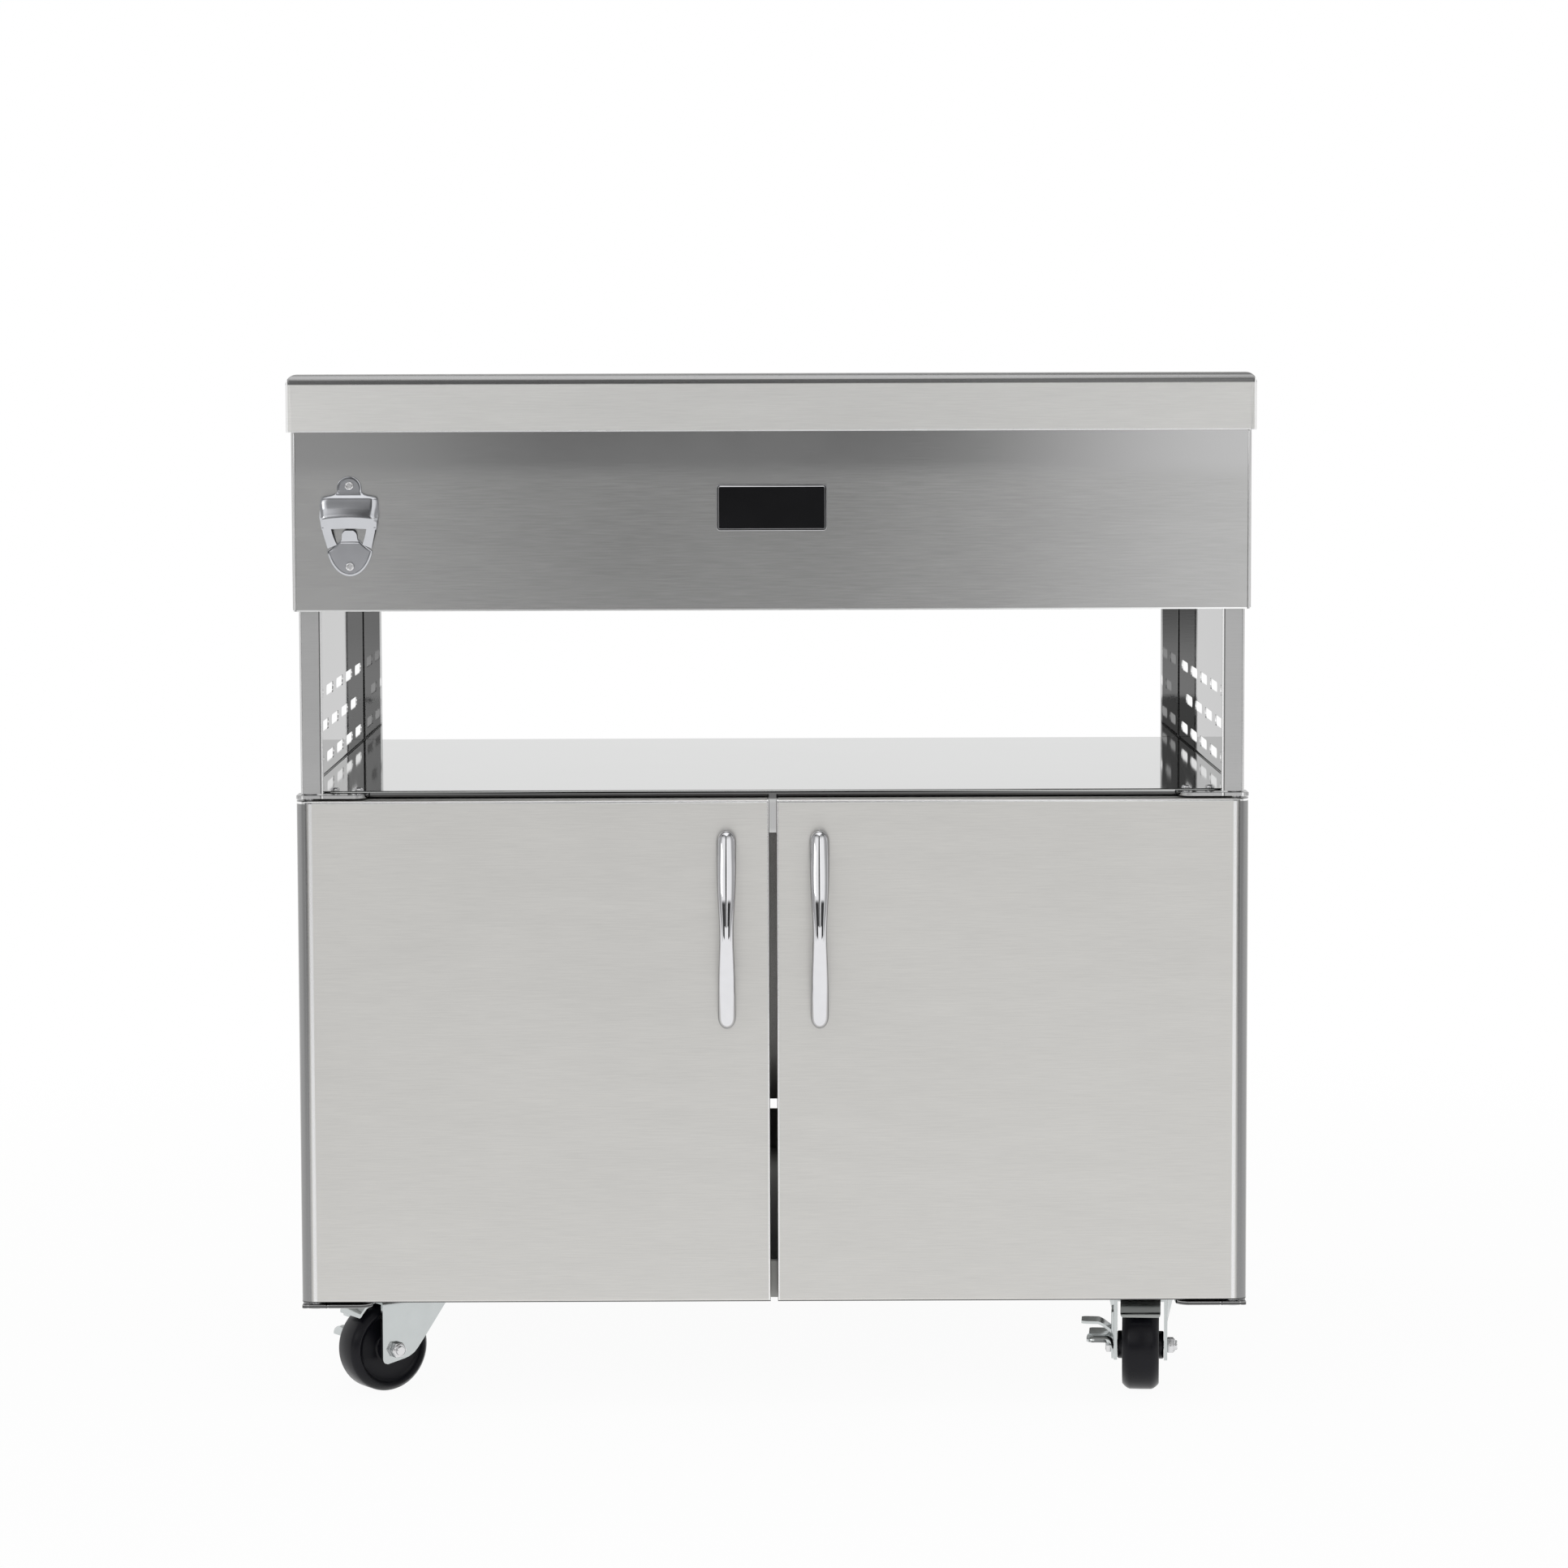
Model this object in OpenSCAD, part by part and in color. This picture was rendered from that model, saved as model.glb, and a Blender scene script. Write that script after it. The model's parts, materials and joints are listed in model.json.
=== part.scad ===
// Kamado module: a stainless cart with an open bay that a round ceramic grill stands in, a cabinet with
// two doors below it, and four swivel castors. Millimetres, front towards -Y, floor at z = 0. The origin
// is on the floor under the middle of the whole object, handles included.

/* [Top] */
// Width of the top panel
top_w = 850; // [740:10:1100]
// Depth of the top panel
top_d = 670; // [620:10:800]
// Height of the band that folds down round the top
band_h = 50.5; // [35:0.5:80]
// Sheet thickness of the top panel
top_sheet = 1.5; // [1:0.1:2.4]
// Radius of the bend between the top and its band
top_edge_r = 10; // [4:1:20]
// Radius of the upright corners of the band
top_corner_r = 6; // [3:1:20]
// Diameter of the round hole that the grill stands in
cutout_d = 530; // [400:5:560]
// Height of the collar that folds down round the hole
collar_h = 25; // [10:1:40]

/* [Fascia] */
// Height of the fascia that shows below the band
fascia_h = 157; // [120:1:250]
// How far the band stands proud of the fascia
band_proud = 4; // [2:0.5:8]
// Radius of the upright corners of the fascia
fascia_bend_r = 4; // [2:0.5:8]
// Length of the ends that wrap round the corners
fascia_return = 40; // [20:1:80]
// Depth of the hem along the lower edge
fascia_hem = 3; // [2:0.1:4]
// Width of the flange along the upper edge
fascia_flange = 22; // [20:1:40]
// Gap between neighbouring sheets
seam = 0.5; // [0.3:0.1:1]

/* [Sheet metal] */
// Thickness of the sheet that the frame and cabinet are folded from
sheet = 1.2; // [0.8:0.1:1.5]
// Outer radius of the folds
bend_r = 2.5; // [1.8:0.1:4]

/* [Open bay] */
// Clear height from the shelf to the lower edge of the fascia
bay_h = 161; // [120:1:260]
// How far the posts stand inside the fascia
post_inset = 5; // [4.2:0.1:8]
// Width of the flange at each end of an upper side panel
post_flange = 19.5; // [14:0.5:34]
// Depth of the lip behind that flange
post_lip = 10; // [5:1:20]

/* [Vent slots] */
// Length of a slot
slot_l = 70; // [40:1:80]
// Height of a slot
slot_h = 10; // [6:1:14]
// Distance from one slot to the next in a row
slot_pitch = 102; // [90:1:104]
// Distance from one row to the next
slot_row_pitch = 31; // [20:1:40]
// Height of the lowest row above the pan below it
slot_first_row = 14; // [10:1:30]
// Slots in the outer rows, the middle row has one less
slot_count = 6; // [2:2:6]

/* [Cabinet] */
// Height from the underside of the base to the top of the shelf
cabinet_h = 456; // [380:1:600]
// How far the cabinet front stands behind the posts
cabinet_setback = 27; // [27:0.5:40]
// Height of the fold round the shelf
shelf_lip_h = 38; // [32:1:60]
// Height of the fold round the base
base_lip_h = 35; // [25:1:60]
// Width of the flange that turns in under each fold
pan_return = 15; // [8:1:18]
// Width of the flanges on the cabinet side panels
side_flange = 20; // [12:1:24]
// Width of a channel under the shelf
channel_w = 60; // [30:1:100]
// Height of a channel under the shelf
channel_h = 25; // [15:1:30]
// Distance of a channel from the middle
channel_x = 150; // [80:5:250]
// Wall of the channels and castor rails
channel_t = 2; // [1.5:0.1:3]

/* [Doors] */
// Gap between the two doors
door_gap = 6.4; // [4:0.1:10]
// Gap above and below a door
door_end_gap = 1.75; // [1:0.05:3]
// Thickness of a door
door_t = 20; // [18:0.5:24]
// How far the doors stand proud of the posts
door_proud = 4; // [0:0.5:5]
// How far the doors and hinge plates reach past the side panels
door_overhang = 4.5; // [1:0.5:5]
// Radius of the bend on the hinge side
hinge_bend_r = 12; // [11:0.5:13]
// Radius of the folds along the top and bottom of a door
door_edge_r = 3; // [2:0.5:6]
// Radius of the fold at the middle of the cabinet
door_inner_r = 2; // [1.5:0.5:4]
// Sheet thickness of a door
door_sheet = 1; // [0.8:0.1:1.2]
// Depth of the folded rim of a door liner
liner_rim = 8; // [4:1:12]

/* [Hinges] */
// Width of a hinge plate
plate_w = 62; // [50:1:90]
// Thickness of a hinge plate
plate_t = 3; // [2:0.5:4]
// Length of a hinge plate behind the cabinet front
plate_tail = 26; // [18:1:27]
// Radius of the inner front corner of a hinge plate
plate_corner_r = 12; // [4:1:20]
// Setback of the hinge plates from the door face
plate_setback = 1; // [0.5:0.5:3]
// Diameter of a hinge pin
pin_d = 8; // [6:0.5:8]
// Reach of a hinge pin into its bush
pin_reach = 12; // [8:1:20]
// Outer diameter of a hinge bush
bush_d = 13; // [12:0.5:13.5]
// Radial clearance of a pin or axle in its bush
running_fit = 0.05; // [0.02:0.01:0.1]
// Gap where one moving piece rests over another
seat_gap = 0.3; // [0.2:0.05:0.5]

/* [Handles] */
// Length of a handle
handle_len = 174; // [120:1:240]
// How far a handle stands off the door
handle_reach = 33; // [26:1:50]
// Thickness of the bow at its middle
handle_t = 9; // [6:0.5:12]
// Length of a foot on the door
handle_foot = 12; // [10:0.5:16]
// Width at the ends
handle_end_w = 16; // [12:0.5:24]
// Width at the middle
handle_mid_w = 10; // [6:0.5:12]
// Distance of a handle from the middle of the cabinet
handle_x = 41; // [25:1:80]
// Distance from the top of the door to the top of the handle
handle_drop = 27.5; // [10:0.5:80]
// Diameter of the handle screws
handle_screw_d = 4; // [3:0.5:5]

/* [Badge] */
// Width of the badge
badge_w = 96.5; // [60:0.5:140]
// Height of the badge
badge_h = 40.5; // [20:0.5:60]
// Thickness of the badge rim
badge_t = 2.5; // [1.5:0.1:4]
// Width of the badge rim
badge_rim_w = 2; // [1:0.1:4]
// How far the badge face lies below its rim
badge_sink = 0.8; // [0.3:0.1:1.2]
// Height of the middle of the badge above the lower edge of the fascia
badge_z = 90; // [60:1:120]

/* [Bottle opener] */
// Distance of the opener from the left end of the fascia
opener_in = 51; // [40:0.5:160]
// Height of its lower end above the lower edge of the fascia
opener_z = 31; // [10:1:60]
// Full height of the opener
opener_h = 87.5; // [80:0.5:100]
// Width of the lower plate
opener_plate_w = 42; // [38:0.1:44]
// Width of the upper tab
opener_tab_w = 21.7; // [18:0.1:26]
// Width of the hood
opener_hood_w = 48; // [46:0.5:56]
// Height of the hood
opener_hood_h = 24; // [20:1:28]
// How far the hood stands off the plate
opener_hood_reach = 15; // [12:0.5:20]
// Thickness of the plate and hood
opener_t = 1.8; // [1.2:0.1:2.5]
// Width of the foot of the tooth that lifts the cap
opener_tooth_w = 14.5; // [11:0.5:20]
// Diameter of the heads of the opener screws
opener_screw_d = 8; // [5:0.5:9]

/* [Castors] */
// Diameter of a wheel
wheel_d = 80; // [70:1:100]
// Gap between a wheel and the crown of its fork
wheel_gap = 2; // [1.5:0.5:6]
// Width of a wheel over its tread
wheel_w = 33; // [28:0.2:35]
// Width of the tread that meets the floor
tread_w = 19; // [10:1:24]
// Width of the hub
hub_w = 41.6; // [38:0.2:44]
// Diameter of the hub
hub_d = 25; // [18:1:30]
// Distance of the axle behind the swivel axis
trail = 26; // [24:0.5:30]
// Distance of the swivel axes from the cabinet sides
castor_in = 82; // [68:0.5:120]
// Distance of the swivel axes from the cabinet front and back
castor_y = 68; // [61:1:90]
// Width of a castor mounting plate
mount_w = 66; // [64:1:68]
// Thickness of a castor mounting plate
mount_t = 2.5; // [2:0.1:4]
// Distance between the castor bolts
bolt_pitch = 50; // [48:1:52]
// Diameter of the castor bolts
bolt_d = 6; // [5:0.5:6]
// Wall of a fork
fork_t = 3; // [2:0.1:3.5]
// Diameter of the crown of a fork
crown_d = 61; // [56:1:62]
// Diameter of the axle bolt
axle_d = 8; // [6:0.5:10]
// Angle that the front left castor is turned by
front_left_turn = -55; // [-180:5:180]
// Angle that the front right castor is turned by
front_right_turn = -5; // [-180:5:180]
// Angle that the rear left castor is turned by
rear_left_turn = -25; // [-180:5:180]
// Angle that the rear right castor is turned by
rear_right_turn = -50; // [-180:5:180]

/* [Hidden] */
$fn = 96;

// Extra length of a cutting solid past the face that it cuts
over = 1;
// Overlap that joins two solids of one piece
lap = 0.1;

// Plan sizes of the fascia and of the frame inside it
fascia_w = top_w - 2 * band_proud;
fascia_d = top_d - 2 * band_proud;
frame_w = fascia_w - 2 * post_inset;
frame_d = fascia_d - 2 * post_inset;
pan_w = frame_w - 2 * sheet;
fascia_top_r = max(bend_r, top_edge_r - band_proud);
post_top_r = max(bend_r, fascia_top_r - post_inset);

// Front and back planes. The handles reach past the top, so the top lies a little behind the origin.
door_in_front = band_proud + post_inset - door_proud;
handle_past_top = handle_reach - door_in_front;
mid_y = handle_past_top / 2;
post_front = mid_y - frame_d / 2;
post_back = mid_y + frame_d / 2;
fascia_front = mid_y - fascia_d / 2;
door_front = post_front - door_proud;
door_back = door_front + door_t;
cab_front = post_front + cabinet_setback;
cab_back = post_back;

// Heights. The castors carry the underside of the base at castor_h.
crown_z = wheel_d + wheel_gap;
crown_drop = 11;
castor_h = crown_z + crown_drop;
shelf_z = castor_h + cabinet_h;
base_top = castor_h + base_lip_h;
shelf_bottom = shelf_z - shelf_lip_h;
fascia_z = shelf_z + bay_h;
band_z = fascia_z + fascia_h;
top_z = band_z + band_h;
frame_top = top_z - top_sheet - sheet;
upper_plate_z = shelf_z - sheet - plate_t;
lower_plate_z = castor_h - plate_t;
door_z0 = castor_h + door_end_gap;
door_z1 = upper_plate_z - door_end_gap;
door_h = door_z1 - door_z0;

// Doors, pivots and hinge plates, on the right-hand side
door_outer = frame_w / 2 + door_overhang;
door_w = door_outer - door_gap / 2;
pivot_x = door_outer - hinge_bend_r;
pivot_y = door_front + hinge_bend_r;
plate_outer = door_outer - plate_setback / 2;
plate_inner = plate_outer - plate_w;
plate_front = door_front + plate_setback;
plate_back = cab_front + plate_tail;
plate_screw_in = 10;
screw_y = cab_front + plate_screw_in;
screw_xs = [plate_inner + plate_screw_in, plate_inner + plate_w / 2];
small_screw_d = 4;
small_head_d = 8;
small_head_h = 2.4;
pin_head_d = 12;
pin_head_h = 1.4;
pin_collar_h = door_end_gap - seat_gap;
bush_end = 3;
bush_len = pin_reach + bush_end;

// Panel screws through the side panels into the folds of the shelf and base
panel_screw_d = 5;
panel_head_d = 10;
panel_head_h = 2.6;
panel_screw_l = 7;
panel_screw_in = 70;
panel_screw_ys = [cab_front + panel_screw_in, (cab_front + cab_back) / 2, cab_back - panel_screw_in];
panel_screw_zs = [shelf_z - shelf_lip_h / 2, castor_h + base_lip_h / 2];

// Door catches on the fold of the shelf
catch_w = 40;
catch_h = 16;
catch_x = 34;
catch_z = shelf_z - shelf_lip_h / 2;
striker_t = 1;
striker_margin = 2;
catch_depth = cab_front - door_back - striker_t - seat_gap;

// Castors
wheel_r = wheel_d / 2;
leg_in = hub_w / 2 + seat_gap;
leg_out = leg_in + fork_t;
castor_x = frame_w / 2 - castor_in;
race_drop = 7;
race_z = castor_h - race_drop;
race_margin = 4;
race_r = crown_d / 2 - race_margin;
mount_corner_r = 6;
kingpin_d = 10;
kingpin_head_d = 18;
kingpin_head_h = 4;
bolt_head_af = 10;
bolt_head_h = 4;
axle_nut_af = 13;
axle_nut_h = 7;
axle_head_h = 5;
axle_end = 2;
brake_t = 2;
brake_in = leg_out + seat_gap;
front_axis = cab_front + castor_y;
rear_axis = cab_back - castor_y;
rail_margin = 5;
rail_w = mount_w + 2 * rail_margin;
rail_half = frame_w / 2 - 2 * sheet - pan_return - seam;

// Place of a castor: swivel axis and turn
FRONT_LEFT = [-castor_x, front_axis, front_left_turn];
FRONT_RIGHT = [castor_x, front_axis, front_right_turn];
REAR_LEFT = [-castor_x, rear_axis, rear_left_turn];
REAR_RIGHT = [castor_x, rear_axis, rear_right_turn];
CASTORS = [FRONT_LEFT, FRONT_RIGHT, REAR_LEFT, REAR_RIGHT];

// A box between two corners
module block(low, high) {
    translate(low) cube(high - low);
}

// A copy on the left of what is drawn on the right
module left_hand() {
    mirror([1, 0, 0]) children();
}

// A flat rectangle about the middle, with round corners
module round_rect(w, d, r) {
    square([w - 2 * r, d], center = true);
    square([w, d - 2 * r], center = true);
    for (sx = [-1, 1], sy = [-1, 1])
        translate([sx * (w / 2 - r), sy * (d / 2 - r)]) circle(r);
}

// An upright outline with its two upper corners round
module round_top(w, h, r) {
    translate([-w / 2, 0]) square([w, h - r]);
    translate([-w / 2 + r, 0]) square([w - 2 * r, h]);
    for (s = [-1, 1])
        translate([s * (w / 2 - r), h - r]) circle(r);
}

// A solid block whose four upper edges are round
module folded_block(w, d, h, r) {
    intersection() {
        rotate([90, 0, 0]) linear_extrude(d, center = true) round_top(w, h, r);
        rotate([90, 0, 90]) linear_extrude(w, center = true) round_top(d, h, r);
    }
}

// A tray turned upside down, solid inside, with round upper edges and round upright corners
module tray_block(w, d, h, edge_r, corner_r) {
    intersection() {
        folded_block(w, d, h, edge_r);
        linear_extrude(h) round_rect(w, d, corner_r);
    }
}

// The same tray as a folded sheet, open below
module tray(w, d, h, t, edge_r, corner_r) {
    difference() {
        tray_block(w, d, h, edge_r, corner_r);
        translate([0, 0, -over])
            tray_block(w - 2 * t, d - 2 * t, h - t + over, edge_r - t, corner_r - t);
    }
}

// A pan turned upside down: a sheet with a fold all round and a flange under the fold
module pan(w, y0, y1, z0, z1) {
    d = y1 - y0;
    h = z1 - z0;
    translate([0, (y0 + y1) / 2, z0]) {
        difference() {
            folded_block(w, d, h, bend_r);
            translate([0, 0, -over])
                folded_block(w - 2 * sheet, d - 2 * sheet, h - sheet + over, bend_r - sheet);
        }
        linear_extrude(sheet)
            difference() {
                square([w - sheet, d - sheet], center = true);
                square([w - 2 * pan_return, d - 2 * pan_return], center = true);
            }
    }
}

// Rows of vent slots in the plane x, z, cut through along y. Row 1 and 3 hold slot_count slots and the
// row between them one less, half a pitch across.
module vent_slots(depth) {
    for (row = [0:2]) {
        count = slot_count - row % 2;
        for (i = [0:count - 1])
            translate([(i - (count - 1) / 2) * slot_pitch, 0, slot_first_row + row * slot_row_pitch])
                rotate([90, 0, 0])
                    linear_extrude(depth, center = true)
                        round_rect(slot_l, slot_h, slot_h / 2 - lap);
    }
}

// A hexagon across flats
module hex(af, h) {
    cylinder(d = af / cos(30), h = h, $fn = 6);
}

module top_panel() {
    color("gainsboro")
        translate([0, mid_y, band_z])
            difference() {
                union() {
                    tray(top_w, top_d, band_h, top_sheet, top_edge_r, top_corner_r);
                    translate([0, 0, band_h - collar_h])
                        cylinder(d = cutout_d + 2 * top_sheet, h = collar_h - top_sheet / 2);
                }
                translate([0, 0, -over]) cylinder(d = cutout_d, h = band_h + 2 * over);
            }
}

// The whole fascia: walls, hem along their lower edge and flange along their upper edge. The upper bend
// lies inside the bend of the top panel.
module fascia_all() {
    wall_h = frame_top + sheet - fascia_z;
    difference() {
        tray(fascia_w, fascia_d, wall_h, sheet, fascia_top_r, fascia_bend_r);
        linear_extrude(wall_h + over)
            square([fascia_w - 2 * fascia_flange, fascia_d - 2 * fascia_flange], center = true);
    }
    linear_extrude(sheet)
        difference() {
            round_rect(fascia_w, fascia_d, fascia_bend_r);
            square([fascia_w - 2 * fascia_hem, fascia_d - 2 * fascia_hem], center = true);
        }
}

// The fascia across the front, with the ends that wrap round the corners
module cross_fascia() {
    translate([0, mid_y, fascia_z])
        intersection() {
            fascia_all();
            translate([-fascia_w, -fascia_d / 2 - over, -over])
                cube([2 * fascia_w, fascia_return + over, top_z]);
        }
}

module front_fascia() {
    color("darkgray")
        difference() {
            cross_fascia();
            opener_screw_places() cylinder(d = small_screw_d, h = 4 * sheet, center = true);
        }
}

module back_fascia() {
    color("darkgray")
        translate([0, 2 * mid_y, 0]) mirror([0, 1, 0]) cross_fascia();
}

module right_fascia() {
    inner_x = fascia_w / 2 - fascia_flange;
    reach_y = fascia_d / 2 - fascia_return - seam;
    color("darkgray")
        translate([0, mid_y, fascia_z])
            intersection() {
                fascia_all();
                translate([inner_x - over, -reach_y, -over]) cube([fascia_w, 2 * reach_y, top_z]);
            }
}

module left_fascia() {
    left_hand() right_fascia();
}

// Outline of the badge inside its rim
badge_corner_r = 1;

module badge_face() {
    round_rect(badge_w - 2 * badge_rim_w, badge_h - 2 * badge_rim_w, badge_corner_r);
}

module badge_rim() {
    color("silver")
        translate([0, fascia_front, fascia_z + badge_z])
            rotate([90, 0, 0])
                linear_extrude(badge_t)
                    difference() {
                        round_rect(badge_w, badge_h, badge_rim_w + badge_corner_r);
                        badge_face();
                    }
}

module badge_plate() {
    color("black")
        translate([0, fascia_front, fascia_z + badge_z])
            rotate([90, 0, 0]) linear_extrude(badge_t - badge_sink) badge_face();
}

// Opener, measured from its lower end
opener_x = fascia_w / 2 - opener_in;
opener_screw_in = 8.5;
opener_tab_h = 22.5;
opener_point_h = 32;
opener_hood_top = opener_h - opener_tab_h;
opener_hood_low = opener_hood_top - opener_hood_h;
opener_hood_corner_r = 7;
opener_window_h = 13;
opener_window_side = 6;
opener_lip_h = 10;
opener_lip_bevel = 3;
opener_mouth = 2;
opener_tooth_reach = 7;
opener_tooth_tip_w = 9.5;
opener_head_h = 2;

// Outline of the opener's back plate: half an ellipse below, a round tab above, lower end at the origin
module opener_outline() {
    half = opener_plate_w / 2;
    tab_r = opener_tab_w / 2;
    polygon(concat(
        [for (a = [-90:10:90]) [half * sin(a), opener_point_h * (1 - cos(a))]],
        [[half, opener_hood_top], [-half, opener_hood_top]]
    ));
    translate([-tab_r, opener_point_h]) square([opener_tab_w, opener_h - tab_r - opener_point_h]);
    translate([0, opener_h - tab_r]) circle(tab_r);
}

// Section of the hood: it slopes out from the plate to a bevel, and its lip hangs down from there
module opener_hood_profile() {
    reach = opener_hood_reach - opener_t;
    bevel_x = opener_lip_bevel - reach;
    bevel_z = opener_lip_h + opener_lip_bevel;
    polygon([
        [0, opener_hood_h], [bevel_x, bevel_z], [-reach, opener_lip_h], [-reach, 0],
        [opener_t - reach, 0], [opener_t - reach, opener_lip_h - opener_t / 2],
        [bevel_x + opener_t / 2, bevel_z - opener_t], [0, opener_hood_h - 2 * opener_t]
    ]);
}

module bottle_opener() {
    window_w = opener_plate_w - 2 * opener_window_side;
    window_z = opener_hood_low - opener_window_h;
    color("silver")
        difference() {
            translate([-opener_x, fascia_front, fascia_z + opener_z]) {
                // Back plate with its window
                rotate([90, 0, 0])
                    linear_extrude(opener_t)
                        difference() {
                            opener_outline();
                            translate([-window_w / 2, window_z]) square([window_w, opener_window_h]);
                        }
                // Hood, which opens downwards
                intersection() {
                    translate([-opener_hood_w / 2, lap - opener_t, opener_hood_low])
                        rotate([90, 0, 90]) linear_extrude(opener_hood_w) opener_hood_profile();
                    rotate([90, 0, 0])
                        linear_extrude(3 * opener_hood_reach, center = true)
                            translate([0, opener_hood_low])
                                round_top(opener_hood_w, opener_hood_h, opener_hood_corner_r);
                }
                // Tooth
                translate([0, 0, window_z])
                    rotate([90, 0, 0])
                        linear_extrude(opener_tooth_reach)
                            polygon([
                                [-opener_tooth_w / 2, -over], [opener_tooth_w / 2, -over],
                                [opener_tooth_tip_w / 2, opener_window_h - opener_mouth],
                                [-opener_tooth_tip_w / 2, opener_window_h - opener_mouth]
                            ]);
            }
            opener_screw_places() cylinder(d = small_screw_d, h = 4 * opener_t, center = true);
        }
}

// Moves what is drawn about the z axis to both opener screws, with z out of the fascia
module opener_screw_places() {
    for (h = [opener_screw_in, opener_h - opener_screw_in])
        translate([-opener_x, fascia_front, fascia_z + opener_z + h]) rotate([90, 0, 0]) children();
}

module opener_screws() {
    color("silver")
        opener_screw_places() {
            translate([0, 0, -2 * sheet]) cylinder(d = small_screw_d, h = 2 * sheet + opener_t + lap);
            translate([0, 0, opener_t]) cylinder(d = opener_screw_d, h = opener_head_h);
        }
}

module right_upper_panel() {
    half = frame_w / 2;
    height = frame_top - shelf_bottom;
    color("lightgray")
        difference() {
            translate([0, mid_y, shelf_bottom]) {
                // Web, front and rear flanges and upper flange
                intersection() {
                    tray(frame_w, frame_d, height, sheet, post_top_r, bend_r);
                    translate([half - post_flange, -frame_d, -over]) cube([frame_w, 2 * frame_d, top_z]);
                }
                // Lips behind the front and rear flanges
                for (y = [-frame_d / 2, frame_d / 2 - post_lip])
                    translate([half - post_flange, y, 0]) cube([sheet, post_lip, height - post_top_r]);
            }
            // The front flange stops on the hinge plate, and the rear one on the back panel
            block([0, post_front - over, shelf_bottom - over],
                [frame_w, cab_front, shelf_z - sheet]);
            block([0, post_front - over, shelf_bottom - over],
                [half - sheet, cab_back - sheet, shelf_z]);
            translate([half, mid_y, shelf_z])
                rotate([0, 0, 90]) vent_slots(4 * sheet);
            panel_screw_holes([panel_screw_zs[0]]);
        }
}

module left_upper_panel() {
    left_hand() right_upper_panel();
}

// Holes for the panel screws, at given heights on the right-hand side
module panel_screw_holes(zs) {
    for (y = panel_screw_ys, z = zs)
        translate([frame_w / 2 - 4 * sheet, y, z])
            rotate([0, 90, 0]) cylinder(d = panel_screw_d, h = 6 * sheet);
}

module shelf() {
    color("whitesmoke")
        difference() {
            pan(pan_w, cab_front, cab_back - sheet, shelf_bottom, shelf_z);
            for (s = [-1, 1]) {
                // Notch in the front fold for each hinge plate
                translate([s * (plate_inner - seam + plate_w / 2), cab_front, upper_plate_z - seam / 2])
                    translate([-plate_w / 2, -over, 0])
                        cube([plate_w, over + bend_r + seam, plate_t + seam / 2]);
                for (x = screw_xs)
                    translate([s * x, screw_y, shelf_z - 2 * sheet])
                        cylinder(d = small_screw_d, h = 3 * sheet);
            }
            panel_screw_holes([panel_screw_zs[0]]);
            left_hand() panel_screw_holes([panel_screw_zs[0]]);
        }
}

module shelf_channels() {
    length = cab_back - cab_front - 2 * pan_return - 4 * sheet;
    color("silver")
        for (s = [-1, 1])
            translate([s * channel_x, cab_front + pan_return + 2 * sheet, shelf_z - sheet - channel_h])
                rotate([-90, 0, 0])
                    mirror([0, 1, 0])
                        linear_extrude(length) channel_section(channel_w, channel_h);
}

// Section of a channel that opens upwards
module channel_section(w, h) {
    difference() {
        translate([-w / 2, 0]) square([w, h]);
        translate([-w / 2 + channel_t, channel_t]) square([w - 2 * channel_t, h]);
    }
}

module right_side_panel() {
    half = frame_w / 2;
    z1 = shelf_bottom - seam / 2;
    flange_z0 = base_top + seam;
    color("lightgray")
        difference() {
            union() {
                // Web
                block([half - sheet, cab_front, castor_h], [half, cab_back, z1]);
                // Front and rear flanges, between the shelf and the base
                for (y = [cab_front, cab_back - 2 * sheet])
                    block([half - side_flange, y, flange_z0], [half - sheet / 2, y + sheet, z1]);
                // Upper flange that the shelf rests on
                block([half - side_flange, cab_front, z1 - sheet], [half - sheet / 2, cab_back - sheet, z1]);
            }
            panel_screw_holes([panel_screw_zs[1]]);
        }
}

module left_side_panel() {
    left_hand() right_side_panel();
}

module back_panel() {
    color("lightgray")
        difference() {
            block([-pan_w / 2, cab_back - sheet, castor_h], [pan_w / 2, cab_back, shelf_bottom - seam]);
            translate([0, cab_back, base_top]) vent_slots(4 * sheet);
        }
}

module base_pan() {
    color("whitesmoke")
        difference() {
            pan(pan_w, cab_front, cab_back - sheet, castor_h, base_top);
            for (s = [-1, 1], x = screw_xs)
                translate([s * x, screw_y, castor_h - over])
                    cylinder(d = small_screw_d, h = 2 * over + sheet);
            panel_screw_holes([panel_screw_zs[1]]);
            left_hand() panel_screw_holes([panel_screw_zs[1]]);
        }
}

// A rail under the base that carries two castors, on its axis line
module castor_rail(axis_y) {
    color("silver")
        difference() {
            translate([-rail_half, axis_y, castor_h])
                rotate([90, 0, 90])
                    linear_extrude(2 * rail_half)
                        channel_section(rail_w, base_lip_h - sheet);
            for (s = [-1, 1])
                translate([s * castor_x, axis_y, castor_h - over])
                    bolt_circle() cylinder(d = bolt_d, h = 2 * over + channel_t);
        }
}

module front_castor_rail() {
    castor_rail(front_axis);
}

module rear_castor_rail() {
    castor_rail(rear_axis);
}

// Four places on the corners of the castor bolt pattern
module bolt_circle() {
    for (sx = [-1, 1], sy = [-1, 1])
        translate([sx * bolt_pitch / 2, sy * bolt_pitch / 2, 0]) children();
}

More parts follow.
